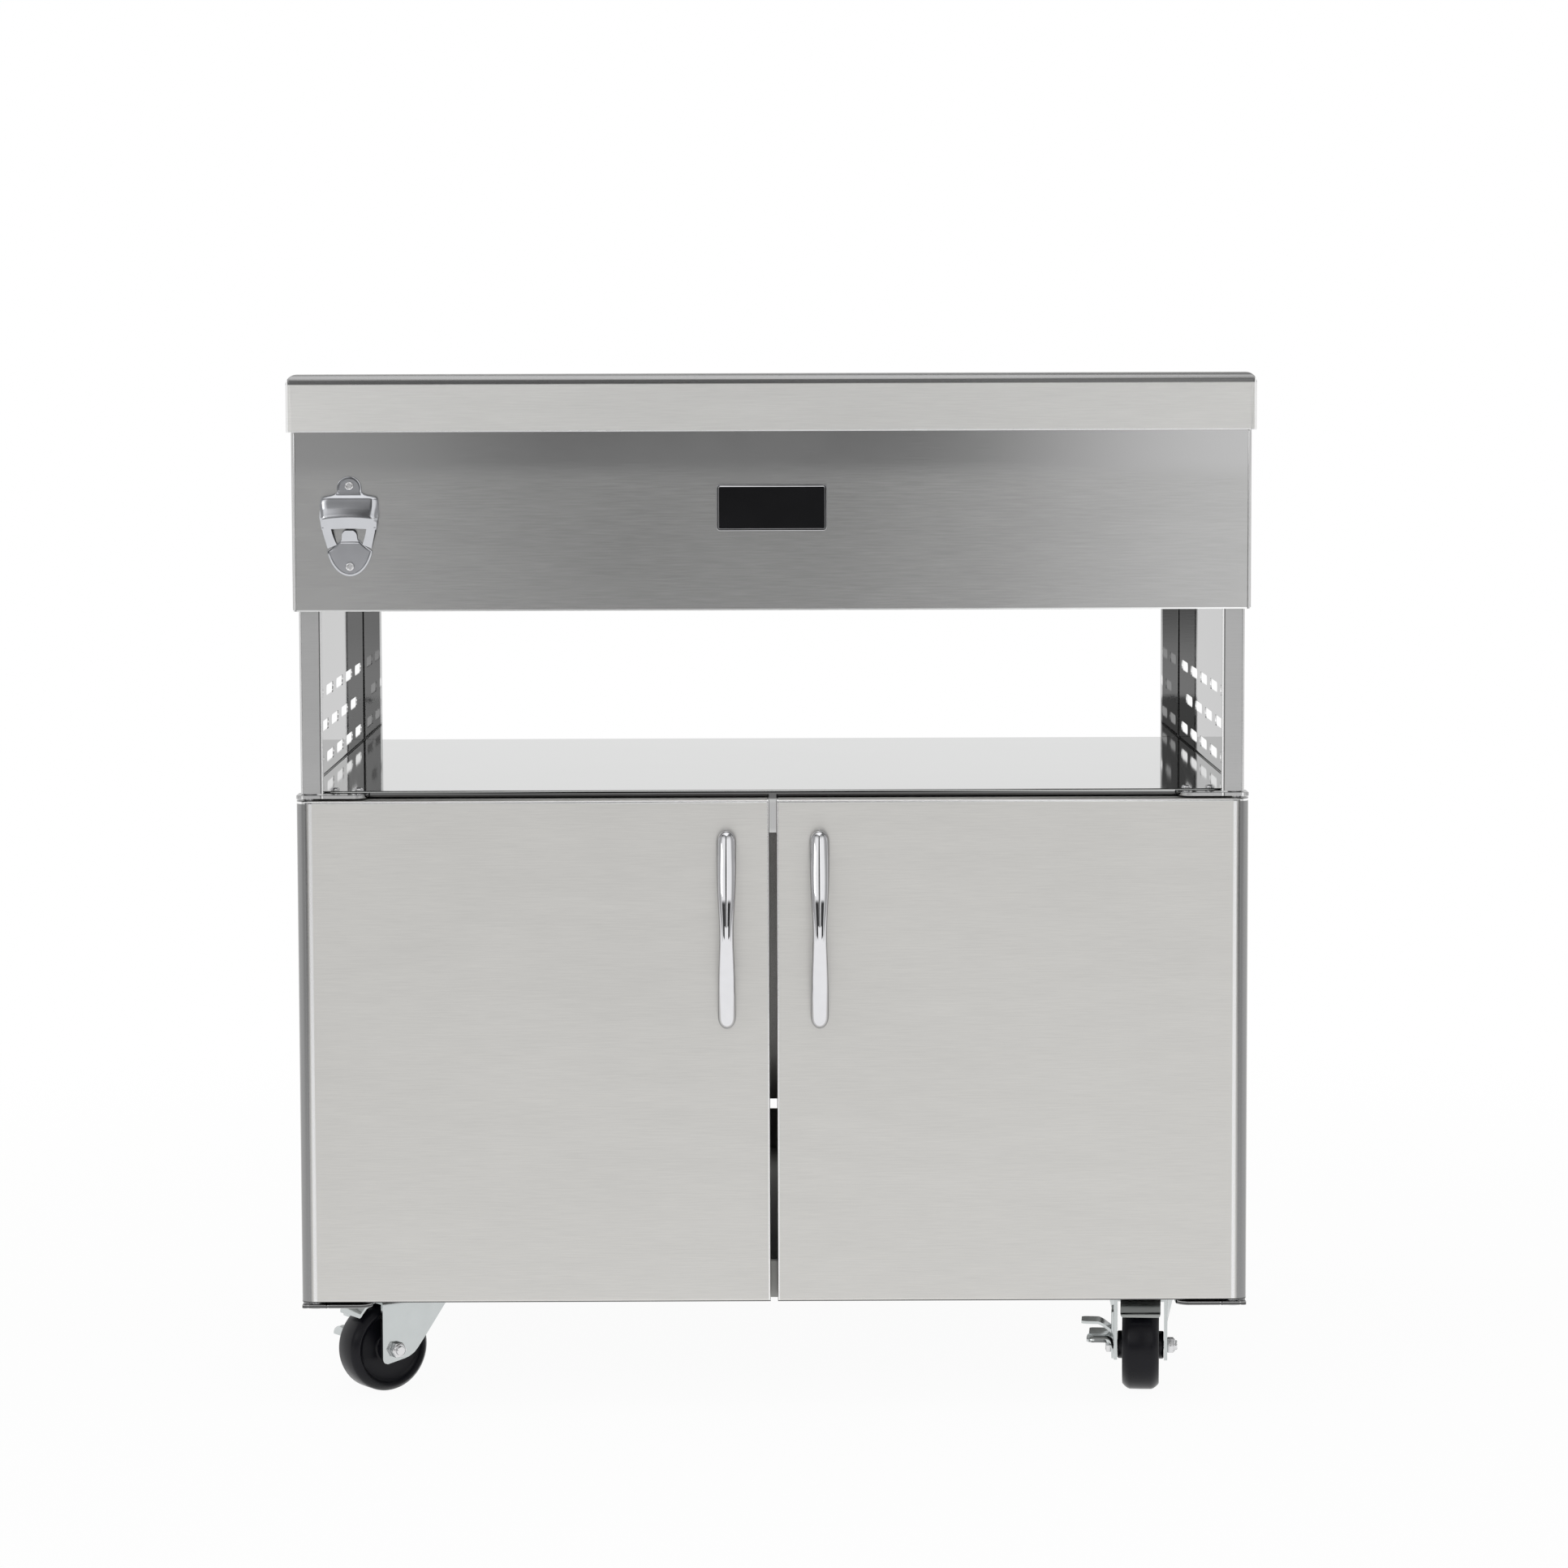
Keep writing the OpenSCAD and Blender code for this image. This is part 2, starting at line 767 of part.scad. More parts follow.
// Outline of a hinge plate on the right, in plan
module hinge_plate_outline() {
    tail_outer = frame_w / 2 - sheet - bend_r - seam;
    front_len = cab_front - plate_front - seam;
    difference() {
        union() {
            translate([plate_inner, plate_front]) square([plate_w, front_len]);
            translate([plate_inner, plate_front])
                square([tail_outer - plate_inner, plate_back - plate_front]);
        }
        // Round front corners
        translate([plate_inner, plate_front])
            difference() {
                square(2 * plate_corner_r, center = true);
                translate([plate_corner_r, plate_corner_r]) circle(plate_corner_r);
            }
        translate([plate_outer, plate_front])
            difference() {
                square(2 * bend_r, center = true);
                translate([-bend_r, bend_r]) circle(bend_r);
            }
        translate([pivot_x, pivot_y]) circle(d = pin_d);
        for (x = screw_xs)
            translate([x, screw_y]) circle(d = small_screw_d);
    }
}

module upper_right_hinge_plate() {
    color("silver") translate([0, 0, upper_plate_z]) linear_extrude(plate_t) hinge_plate_outline();
}

module upper_left_hinge_plate() {
    left_hand() upper_right_hinge_plate();
}

module lower_right_hinge_plate() {
    color("silver") translate([0, 0, lower_plate_z]) linear_extrude(plate_t) hinge_plate_outline();
}

module lower_left_hinge_plate() {
    left_hand() lower_right_hinge_plate();
}

// Upper pins hang from their plates, lower pins stand on theirs and carry the doors on a collar
module hinge_pins() {
    color("silver")
        for (s = [-1, 1])
            translate([s * pivot_x, pivot_y, 0]) {
                translate([0, 0, door_z1 - pin_reach])
                    cylinder(d = pin_d, h = pin_reach + door_end_gap + plate_t + pin_head_h);
                translate([0, 0, upper_plate_z + plate_t]) cylinder(d = pin_head_d, h = pin_head_h);
                translate([0, 0, lower_plate_z - pin_head_h])
                    cylinder(d = pin_d, h = pin_head_h + plate_t + door_end_gap + pin_reach);
                translate([0, 0, lower_plate_z - pin_head_h]) cylinder(d = pin_head_d, h = pin_head_h);
                translate([0, 0, castor_h]) cylinder(d = bush_d, h = pin_collar_h);
            }
}

// A pan-head screw that points down, its bevelled head above z = 0
module pan_screw(d, head_d, head_h, length) {
    bevel = head_h / 2;
    cylinder(d = head_d, h = head_h - bevel);
    translate([0, 0, head_h - bevel]) cylinder(d1 = head_d, d2 = head_d - 2 * bevel, h = bevel);
    translate([0, 0, -length]) cylinder(d = d, h = length + bevel);
}

module hinge_plate_screws() {
    length = sheet + plate_t;
    color("silver")
        for (s = [-1, 1], x = screw_xs) {
            translate([s * x, screw_y, shelf_z]) pan_screw(small_screw_d, small_head_d, small_head_h, length);
            translate([s * x, screw_y, lower_plate_z])
                mirror([0, 0, 1]) pan_screw(small_screw_d, small_head_d, small_head_h, length);
        }
}

module panel_screws() {
    color("silver")
        for (s = [0, 1])
            mirror([s, 0, 0])
                for (y = panel_screw_ys, z = panel_screw_zs)
                    translate([frame_w / 2, y, z])
                        rotate([0, 90, 0])
                            pan_screw(panel_screw_d, panel_head_d, panel_head_h, panel_screw_l);
}

module door_catches() {
    color("dimgray")
        for (s = [-1, 1])
            translate([s * catch_x - catch_w / 2, cab_front - catch_depth, catch_z - catch_h / 2])
                cube([catch_w, catch_depth, catch_h]);
}

// Plan of a door on the right, drawn from its hinge side inwards, and drawn in by an inset
module door_plan(inset) {
    r = hinge_bend_r - inset;
    r_in = door_inner_r - inset;
    w = door_w - 2 * inset;
    t = door_t - inset;
    translate([door_outer - inset, door_front + inset])
        mirror([1, 0]) {
            translate([0, r]) square([w, t - r]);
            translate([r, 0]) square([w - r - r_in, r]);
            translate([r, r]) circle(r);
            translate([w - r, r_in]) square([r, r - r_in]);
            translate([w - r_in, r_in]) circle(r_in);
        }
}

// Side view of a door with its round front edges, drawn in by an inset
module door_side(inset) {
    h = door_h - 2 * inset;
    r = door_edge_r - inset;
    translate([door_front + inset + r, -h / 2]) square([door_t - inset - r, h]);
    translate([door_front + inset, -h / 2 + r]) square([r, h - 2 * r]);
    for (s = [-1, 1])
        translate([door_front + inset + r, s * (h / 2 - r)]) circle(r);
}

module door_solid(inset) {
    intersection() {
        translate([0, 0, door_z0 + inset]) linear_extrude(door_h - 2 * inset) door_plan(inset);
        translate([0, 0, (door_z0 + door_z1) / 2])
            rotate([90, 0, 90]) linear_extrude(door_outer + over) door_side(inset);
    }
}

module right_door() {
    color("gainsboro")
        difference() {
            door_solid(0);
            door_solid(door_sheet);
            translate([door_gap / 2 + door_sheet, door_back - over, door_z0 + door_sheet])
                cube([door_w - 2 * door_sheet, 2 * over, door_h - 2 * door_sheet]);
            translate([pivot_x, pivot_y, door_z0 - over]) cylinder(d = bush_d, h = door_h + 2 * over);
            handle_screw_places() cylinder(d = handle_screw_d, h = 4 * door_sheet, center = true);
        }
}

module left_door() {
    left_hand() right_door();
}

// Liner that closes the back of a door: a shallow pan inside the door's folds
module right_door_liner() {
    x0 = door_gap / 2 + door_sheet;
    x1 = door_outer - door_sheet;
    z0 = door_z0 + door_sheet;
    z1 = door_z1 - door_sheet;
    y0 = door_back - liner_rim;
    color("lightgray")
        difference() {
            block([x0, y0, z0], [x1, door_back, z1]);
            block([x0 + door_sheet, y0 - over, z0 + door_sheet],
                [x1 - door_sheet, door_back - door_sheet, z1 - door_sheet]);
            for (z = [z0, z1])
                translate([pivot_x, pivot_y, z])
                    cylinder(d = bush_d + 2 * seam, h = 4 * door_sheet, center = true);
        }
}

module left_door_liner() {
    left_hand() right_door_liner();
}

// The two bushes of a door, in its upper and lower fold
module right_door_bushes() {
    color("white")
        for (z = [door_z0, door_z1 - bush_len])
            translate([pivot_x, pivot_y, z])
                difference() {
                    cylinder(d = bush_d, h = bush_len);
                    translate([0, 0, -over])
                        cylinder(r = pin_d / 2 + running_fit, h = bush_len + 2 * over);
                }
}

module left_door_bushes() {
    left_hand() right_door_bushes();
}

// Radius of an arc from its chord and its height
function arc_r(chord, rise) = (chord * chord / 4 + rise * rise) / (2 * rise);

// Handle screws, a short way inside the feet, and their depth below the outer arc of the bow
handle_mid_z = door_z1 - handle_drop - handle_len / 2;
handle_outer_r = arc_r(handle_len, handle_reach);
handle_screw_z = handle_len / 2 - 3 / 4 * handle_foot;
handle_screw_out = handle_screw_z + handle_screw_d / 2;
handle_screw_wall = 1.5;
handle_screw_l = sqrt(pow(handle_outer_r, 2) - pow(handle_screw_out, 2)) - handle_outer_r + handle_reach
    - handle_screw_wall;

// Turns what is drawn along z to lie along y at both handle screws of the right door
module handle_screw_places() {
    for (s = [-1, 1])
        translate([handle_x, door_front, handle_mid_z + s * handle_screw_z])
            rotate([90, 0, 0]) children();
}

// Side view of a handle: the space between two arcs that stand on the door
module handle_bow() {
    inner_rise = handle_reach - handle_t;
    inner_len = handle_len - 2 * handle_foot;
    inner_r = arc_r(inner_len, inner_rise);
    difference() {
        translate([handle_outer_r - handle_reach, 0]) circle(handle_outer_r, $fn = 360);
        translate([inner_r - inner_rise, 0]) circle(inner_r, $fn = 360);
        translate([0, -handle_len]) square([3 * handle_outer_r, 2 * handle_len]);
    }
}

// Front view of a handle: round ends and a waist
module handle_front() {
    end_r = handle_end_w / 2;
    straight = handle_len - handle_end_w;
    waist_r = arc_r(straight - handle_end_w, (handle_end_w - handle_mid_w) / 2);
    difference() {
        union() {
            square([handle_end_w, straight], center = true);
            for (s = [-1, 1])
                translate([0, s * straight / 2]) circle(end_r);
        }
        for (s = [-1, 1])
            translate([s * (handle_mid_w / 2 + waist_r), 0]) circle(waist_r, $fn = 720);
    }
}

module right_handle() {
    color("silver")
        difference() {
            translate([handle_x, door_front, handle_mid_z])
                intersection() {
                    rotate([90, 0, 90]) linear_extrude(handle_end_w + over, center = true) handle_bow();
                    rotate([90, 0, 0]) linear_extrude(3 * handle_reach, center = true) handle_front();
                }
            handle_screw_places()
                translate([0, 0, -over]) cylinder(d = handle_screw_d, h = handle_screw_l + over);
        }
}

module left_handle() {
    left_hand() right_handle();
}

module right_handle_screws() {
    color("silver")
        handle_screw_places() {
            translate([0, 0, -door_sheet]) cylinder(d = handle_screw_d, h = door_sheet + handle_screw_l);
            translate([0, 0, -door_sheet - small_head_h]) cylinder(d = small_head_d, h = small_head_h);
        }
}

module left_handle_screws() {
    left_hand() right_handle_screws();
}

module right_striker() {
    w = catch_w - 2 * striker_margin;
    h = catch_h - 2 * striker_margin;
    color("silver")
        translate([catch_x - w / 2, door_back, catch_z - h / 2]) cube([w, striker_t, h]);
}

module left_striker() {
    left_hand() right_striker();
}

// Moves a castor piece, drawn about a swivel axis at the origin, to its place. The axle lies at
// y = -trail and along x, and the brake is on the -x side.
module at_castor(place, turn = true) {
    translate([place[0], place[1], 0])
        rotate([0, 0, turn ? place[2] : 0]) children();
}

module castor_mount() {
    color("lightsteelblue")
        difference() {
            union() {
                translate([0, 0, castor_h - mount_t]) linear_extrude(mount_t)
                    round_rect(mount_w, mount_w, mount_corner_r);
                translate([0, 0, race_z]) cylinder(r = race_r, h = castor_h - mount_t / 2 - race_z);
            }
            translate([0, 0, race_z - over]) cylinder(d = kingpin_d, h = castor_h);
            translate([0, 0, castor_h / 2]) bolt_circle() cylinder(d = bolt_d, h = castor_h);
        }
}

module castor_kingpins() {
    color("gray")
        for (place = CASTORS)
            at_castor(place, false) {
                translate([0, 0, crown_z - seat_gap])
                    cylinder(d = kingpin_d, h = castor_h - crown_z + seat_gap);
                translate([0, 0, crown_z - seat_gap - kingpin_head_h])
                    cylinder(d = kingpin_head_d, h = kingpin_head_h);
            }
}

module castor_bolts() {
    grip = mount_t + channel_t;
    color("silver")
        for (place = CASTORS)
            at_castor(place, false)
                bolt_circle() {
                    translate([0, 0, castor_h - mount_t]) cylinder(d = bolt_d, h = grip + bolt_head_h);
                    translate([0, 0, castor_h - mount_t - bolt_head_h]) hex(bolt_head_af, bolt_head_h);
                    translate([0, 0, castor_h + channel_t]) hex(bolt_head_af, bolt_head_h);
                }
}

// Turns a section drawn in y, z to stand across the castor
module across(width, x = 0) {
    translate([x, 0, 0]) rotate([90, 0, 90]) linear_extrude(width, center = true) children();
}

// Side view of a fork leg: upright at the back, sloped at the front, with a blunt lower end whose points
// are measured from the axle
leg_behind_axle = 14;
leg_back = trail + leg_behind_axle;
leg_front = 27;
leg_front_h = 4;
leg_end_points = [
    [22.5, -1], [18.5, -5], [12, -8.5], [-9, -12.6], [-12.6, -11.6], [-leg_behind_axle, -8.5]
];

module leg_outline() {
    difference() {
        polygon(concat(
            [[-leg_back, crown_z + fork_t / 2], [leg_front, crown_z + fork_t / 2]],
            [[leg_front, crown_z - leg_front_h]],
            [for (p = leg_end_points) [p[0] - trail, p[1] + wheel_r]]
        ));
        translate([-trail, wheel_r]) circle(r = axle_d / 2 + running_fit);
    }
}

// Side view of the guard over the back of the wheel, measured from the upper rear corner of the legs
guard_w = 36;
guard_points = [
    [8, fork_t], [-1, fork_t], [-13, -4], [-20, -12], [-18, -13.3], [-11.5, -6.5], [0, 0], [8, 0]
];

// Shoulders of the fork, where the crown narrows to the legs
shoulder_h = 26;
shoulder_back = 6;

module fork() {
    color("lightsteelblue")
        difference() {
            union() {
                // Crown plate, bearing cup and shoulders
                translate([-leg_out, -leg_back, crown_z]) cube([2 * leg_out, leg_back + leg_front, fork_t]);
                translate([0, 0, crown_z]) cylinder(d = crown_d, h = race_z - seat_gap - crown_z);
                intersection() {
                    difference() {
                        translate([0, 0, crown_z - shoulder_h])
                            cylinder(r1 = leg_out, r2 = crown_d / 2, h = shoulder_h + fork_t);
                        translate([0, 0, crown_z - shoulder_h - over])
                            cylinder(r1 = leg_out - fork_t, r2 = crown_d / 2 - fork_t, h = shoulder_h + over);
                    }
                    translate([-crown_d, -shoulder_back, 0]) cube([2 * crown_d, crown_d, castor_h]);
                }
                for (s = [-1, 1])
                    across(fork_t, s * (leg_in + fork_t / 2)) leg_outline();
                across(guard_w) translate([-leg_back, crown_z]) polygon(guard_points);
            }
            translate([0, 0, crown_z - over])
                cylinder(r = kingpin_d / 2 + running_fit, h = castor_h);
        }
}

module axle() {
    head_x = brake_in + brake_t + seat_gap;
    end_x = leg_out + axle_nut_h + axle_end;
    color("silver")
        translate([0, -trail, wheel_r])
            rotate([0, 90, 0]) {
                translate([0, 0, -head_x]) cylinder(d = axle_d, h = head_x + end_x);
                translate([0, 0, -head_x - axle_head_h]) hex(axle_nut_af, axle_head_h);
                translate([0, 0, leg_out]) hex(axle_nut_af, axle_nut_h);
            }
}

// Half section of a wheel: radius against distance from its middle
wheel_chamfer = 5;
wheel_recess = 5;
wheel_rim_h = 4;
wheel_rim_slope = 2;

module wheel_section() {
    half = wheel_w / 2;
    hub_half = hub_w / 2;
    web_half = half - wheel_recess;
    bore = axle_d / 2 + running_fit;
    shoulder = wheel_r - wheel_chamfer;
    rim = shoulder - wheel_rim_h;
    web = rim - wheel_rim_slope;
    polygon([
        [bore, -hub_half], [hub_d / 2, -hub_half], [hub_d / 2, -web_half], [web, -web_half],
        [rim, -half], [shoulder, -half], [wheel_r, -tread_w / 2], [wheel_r, tread_w / 2],
        [shoulder, half], [rim, half], [web, web_half], [hub_d / 2, web_half],
        [hub_d / 2, hub_half], [bore, hub_half]
    ]);
}

module wheel() {
    color("black")
        translate([0, -trail, wheel_r])
            rotate([0, 90, 0]) rotate_extrude() wheel_section();
}

// Brake lever on the outside of the brake-side leg. The lower tab clears the head of the axle bolt.
brake_eye_r = 13;
brake_arm_h = 34;
tab_t = 2.5;
tab_l = 24;
lower_tab_reach = 20;
lower_tab_z = axle_nut_af / 2 / cos(30) + seat_gap;
// End view of the upper tab, measured from the outer face of the lever at the height of the axle
upper_tab_points = [
    [brake_t / 2, 14], [-10, 20.5], [-27, 21], [-27, 18.5], [-9, 18], [brake_t / 2, 11]
];

module brake() {
    lever_x = -brake_in - brake_t;
    color("dimgray")
        translate([0, -trail, wheel_r]) {
            across(brake_t, lever_x + brake_t / 2)
                difference() {
                    union() {
                        circle(brake_eye_r);
                        translate([-brake_eye_r, 0]) square([2 * brake_eye_r, brake_arm_h]);
                    }
                    circle(r = axle_d / 2 + running_fit);
                }
            // Lower tab, square to the arm
            translate([lever_x - lower_tab_reach, -tab_l / 2, lower_tab_z])
                cube([lower_tab_reach + brake_t / 2, tab_l, tab_t]);
            // Upper tab, which climbs away from the arm and then runs level
            translate([lever_x, 0, 0])
                rotate([90, 0, 0]) linear_extrude(tab_l, center = true) polygon(upper_tab_points);
        }
}

module front_left_mount() { at_castor(FRONT_LEFT, false) castor_mount(); }
module front_right_mount() { at_castor(FRONT_RIGHT, false) castor_mount(); }
module rear_left_mount() { at_castor(REAR_LEFT, false) castor_mount(); }
module rear_right_mount() { at_castor(REAR_RIGHT, false) castor_mount(); }

module front_left_fork() { at_castor(FRONT_LEFT) fork(); }
module front_right_fork() { at_castor(FRONT_RIGHT) fork(); }
module rear_left_fork() { at_castor(REAR_LEFT) fork(); }
module rear_right_fork() { at_castor(REAR_RIGHT) fork(); }

module front_left_axle() { at_castor(FRONT_LEFT) axle(); }
module front_right_axle() { at_castor(FRONT_RIGHT) axle(); }
module rear_left_axle() { at_castor(REAR_LEFT) axle(); }
module rear_right_axle() { at_castor(REAR_RIGHT) axle(); }

module front_left_wheel() { at_castor(FRONT_LEFT) wheel(); }
module front_right_wheel() { at_castor(FRONT_RIGHT) wheel(); }
module rear_left_wheel() { at_castor(REAR_LEFT) wheel(); }
module rear_right_wheel() { at_castor(REAR_RIGHT) wheel(); }

module front_left_brake() { at_castor(FRONT_LEFT) brake(); }
module front_right_brake() { at_castor(FRONT_RIGHT) brake(); }

top_panel();
front_fascia();
back_fascia();
left_fascia();
right_fascia();
badge_rim();
badge_plate();
bottle_opener();
opener_screws();
left_upper_panel();
right_upper_panel();
shelf();
shelf_channels();
left_side_panel();
right_side_panel();
back_panel();
base_pan();
front_castor_rail();
rear_castor_rail();
upper_left_hinge_plate();
upper_right_hinge_plate();
lower_left_hinge_plate();
lower_right_hinge_plate();
hinge_pins();
hinge_plate_screws();
panel_screws();
door_catches();
left_door();
left_door_liner();
left_door_bushes();
left_handle();
left_handle_screws();
left_striker();
right_door();
right_door_liner();
right_door_bushes();
right_handle();
right_handle_screws();
right_striker();
castor_bolts();
castor_kingpins();
front_left_mount();
front_right_mount();
rear_left_mount();
rear_right_mount();
front_left_fork();
front_right_fork();
rear_left_fork();
rear_right_fork();
front_left_axle();
front_right_axle();
rear_left_axle();
rear_right_axle();
front_left_wheel();
front_right_wheel();
rear_left_wheel();
rear_right_wheel();
front_left_brake();
front_right_brake();
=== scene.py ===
# %% [markdown]
# # A stainless cart for a round ceramic grill
#
# This notebook dresses a finished construction model. The model comes in as a fixed frame: every sheet,
# pin and wheel is at its real size and place. Our job is its looks: brushed and bright stainless steel,
# chrome, zinc and black plastic, and the small rounded forms that catch the light.

import json
import math

import bmesh
import bpy
from mathutils import Matrix, Vector

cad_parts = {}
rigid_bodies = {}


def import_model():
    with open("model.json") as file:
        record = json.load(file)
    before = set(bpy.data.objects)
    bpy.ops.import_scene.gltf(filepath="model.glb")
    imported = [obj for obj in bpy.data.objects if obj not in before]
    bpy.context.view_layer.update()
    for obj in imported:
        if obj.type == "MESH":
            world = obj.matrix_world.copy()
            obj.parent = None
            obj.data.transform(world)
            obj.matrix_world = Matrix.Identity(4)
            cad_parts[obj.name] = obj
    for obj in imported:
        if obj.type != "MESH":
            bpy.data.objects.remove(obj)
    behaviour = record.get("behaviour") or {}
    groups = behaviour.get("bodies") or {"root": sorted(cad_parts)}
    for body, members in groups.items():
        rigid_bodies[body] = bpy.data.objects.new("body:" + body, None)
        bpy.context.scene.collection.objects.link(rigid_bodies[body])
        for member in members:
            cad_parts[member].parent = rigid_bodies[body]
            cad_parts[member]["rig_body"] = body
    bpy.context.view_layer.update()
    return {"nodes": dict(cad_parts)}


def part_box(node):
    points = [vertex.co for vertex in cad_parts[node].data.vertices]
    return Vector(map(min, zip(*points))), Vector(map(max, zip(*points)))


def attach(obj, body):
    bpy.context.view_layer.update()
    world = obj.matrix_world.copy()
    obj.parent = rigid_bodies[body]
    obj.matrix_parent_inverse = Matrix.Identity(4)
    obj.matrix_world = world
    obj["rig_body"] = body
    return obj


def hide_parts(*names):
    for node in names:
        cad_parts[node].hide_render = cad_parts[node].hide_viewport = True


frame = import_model()

# %% [markdown]
# ## The camera
#
# The photograph was taken from about four metres with a long lens, just below the height of the top. The
# numbers below come from fitting the model's main edges to the picture, so the render lies over it.

# %% Camera
CAMERA_PLACE = (-0.0055, -4.4596, 0.9042)
CAMERA_PITCH = 4.793
CAMERA_YAW = 0.2145
CAMERA_ROLL = -0.18
CAMERA_LENS = 108.354

camera_data = bpy.data.cameras.new("camera")
camera_data.lens = CAMERA_LENS
camera_data.sensor_width = 36.0
camera_data.clip_end = 60.0
camera = bpy.data.objects.new("camera", camera_data)
turn = Matrix.Rotation(math.radians(-CAMERA_YAW), 4, "Z")
tilt = Matrix.Rotation(math.radians(90.0 - CAMERA_PITCH), 4, "X")
roll = Matrix.Rotation(math.radians(CAMERA_ROLL), 4, "Z")
camera.matrix_world = Matrix.Translation(CAMERA_PLACE) @ turn @ tilt @ roll
bpy.context.scene.collection.objects.link(camera)
bpy.context.scene.camera = camera
bpy.context.scene.view_settings.view_transform = "Standard"

# %% [markdown]
# ## Shader maths in plain Python
#
# Node trees read best as formulas. `Wire` wraps one socket, so that `0.3 + 0.1 * mask` adds the Math nodes
# for us. `Tree` is a material or a world. Its method `node` adds any other node from its type, its
# settings and the values or links of its sockets.

# %% Wires and trees
class Wire:
    """One output socket that can be used in arithmetic."""

    def __init__(self, tree, socket):
        self.tree = tree
        self.socket = socket

    def math(self, operation, *values):
        """A Math node with these values at its inputs."""
        return self.tree.node("ShaderNodeMath", {"operation": operation}, dict(enumerate(values)))

    def __add__(self, other):
        return self.math("ADD", self, other)

    def __radd__(self, other):
        return self.math("ADD", other, self)

    def __sub__(self, other):
        return self.math("SUBTRACT", self, other)

    def __rsub__(self, other):
        return self.math("SUBTRACT", other, self)

    def __mul__(self, other):
        return self.math("MULTIPLY", self, other)

    def __rmul__(self, other):
        return self.math("MULTIPLY", other, self)

    def __truediv__(self, other):
        return self.math("DIVIDE", self, other)

    def size(self):
        """The value without its sign."""
        return self.math("ABSOLUTE", self)

    def larger(self, other):
        """The larger of two values."""
        return self.math("MAXIMUM", self, other)

    def soft_step(self, low, high):
        """0 below low, 1 above high, and a soft slope between them."""
        inputs = {"Value": self, "From Min": low, "From Max": high}
        return self.tree.node("ShaderNodeMapRange", {"interpolation_type": "SMOOTHSTEP"}, inputs)


class Tree:
    """The nodes of a material or a world."""

    def __init__(self, owner):
        owner.use_nodes = True
        self.tree = owner.node_tree
        self.tree.nodes.clear()

    def node(self, kind, settings=None, inputs=None, output=0):
        """A new node with its settings and inputs. It gives back the wire of one output."""
        made = self.tree.nodes.new(kind)
        for name, value in (settings or {}).items():
            setattr(made, name, value)
        for name, value in (inputs or {}).items():
            if isinstance(value, Wire):
                self.tree.links.new(value.socket, made.inputs[name])
            else:
                made.inputs[name].default_value = value
        return Wire(self, made.outputs[output] if made.outputs else None)

    def parts(self, vector):
        """The x, y and z of a vector as three wires."""
        split = self.node("ShaderNodeSeparateXYZ", None, {0: vector})
        return [Wire(self, output) for output in split.socket.node.outputs]

    def place(self):
        """Where a point lies on the object, in metres."""
        return self.parts(self.node("ShaderNodeTexCoord", output="Object"))

    def facing(self):
        """The direction that the face looks in."""
        return self.parts(self.node("ShaderNodeNewGeometry", output="Normal"))

    def noise(self, u, v, w=0.0, detail=2.0, roughness=0.5):
        """Soft noise between 0 and 1 at three coordinates."""
        point = self.node("ShaderNodeCombineXYZ", None, {"X": u, "Y": v, "Z": w})
        inputs = {"Vector": point, "Scale": 1.0, "Detail": detail, "Roughness": roughness}
        return self.node("ShaderNodeTexNoise", None, inputs)

    def speckle(self, scale, detail=2.0):
        """Noise that is alike in all directions, with about scale spots in a metre."""
        x, y, z = self.place()
        return self.noise(x * scale, y * scale, z * scale, detail=detail)

    def tint(self, dark, light, factor):
        """A colour between two colours."""
        inputs = {0: factor, 6: (*dark, 1.0), 7: (*light, 1.0)}
        return self.node("ShaderNodeMix", {"data_type": "RGBA"}, inputs, output=2)

    def relief(self, height, distance, strength):
        """Bump from a height, with its distance in metres."""
        inputs = {"Strength": strength, "Distance": distance, "Height": height}
        return self.node("ShaderNodeBump", None, inputs)

    def light_path(self):
        """Three wires that are 1 for rays from the camera, from a glossy face and through glass."""
        outputs = self.node("ShaderNodeLightPath").socket.node.outputs
        names = ("Is Camera Ray", "Is Glossy Ray", "Is Transmission Ray")
        return [Wire(self, outputs[name]) for name in names]

    def surface(self, shader):
        """Ends a material with this shader."""
        self.node("ShaderNodeOutputMaterial", None, {"Surface": shader})

    def principled(self, inputs):
        """Ends a material with a Principled shader."""
        self.surface(self.node("ShaderNodeBsdfPrincipled", None, inputs))


def new_finish(name):
    """A new material and its tree."""
    material = bpy.data.materials.new(name)
    return material, Tree(material)


print("shader helpers ready")

# %% [markdown]
# ## Brushed stainless steel
#
# A brushed sheet is drawn over an abrasive belt, so it has thousands of fine scratches in one direction.
# Along the scratches it mirrors, across them it blurs. Three things make it: noise that is stretched
# along the belt, a little of it in the colour and the roughness, and a stretched gloss (anisotropy). The
# belt runs level on every upright face, and from side to side on the flat ones.
#
# The folds and edges of a sheet catch the light in their own way, and here that light and shade are painted
# into the colour. Each list of painted lines names their lines and the tone painted there: pale for painted
# highlights, dark for painted shade and painted dark reflections. Long sheets are also painted paler at
# their ends than in their middle, as painted light.

# %% Brushed sheet
BELT_LENGTH = 0.03
SCRATCH_WIDTH = 0.0012
SCRATCH_DEPTH = 0.00001
BAND_WIDTH = 16.0 * SCRATCH_WIDTH
BAND_STRETCH = 0.3
BAND_SHARE = 0.4
CLOUDS_PER_METRE = 6.0
GLOSS_OF_SCRATCHES = 0.3
GLOSS_OF_CLOUDS = 0.25
GLOSS_UNDER_PAINTED_LINES = 0.4
FLAT_FROM = 0.8
PAINTED_END_SPAN = (0.05, 0.42)
TONE_RANGE = (0.85, 1.15)
MILL_EDGE = 0.0005
MILL_ROUGHNESS = 0.05


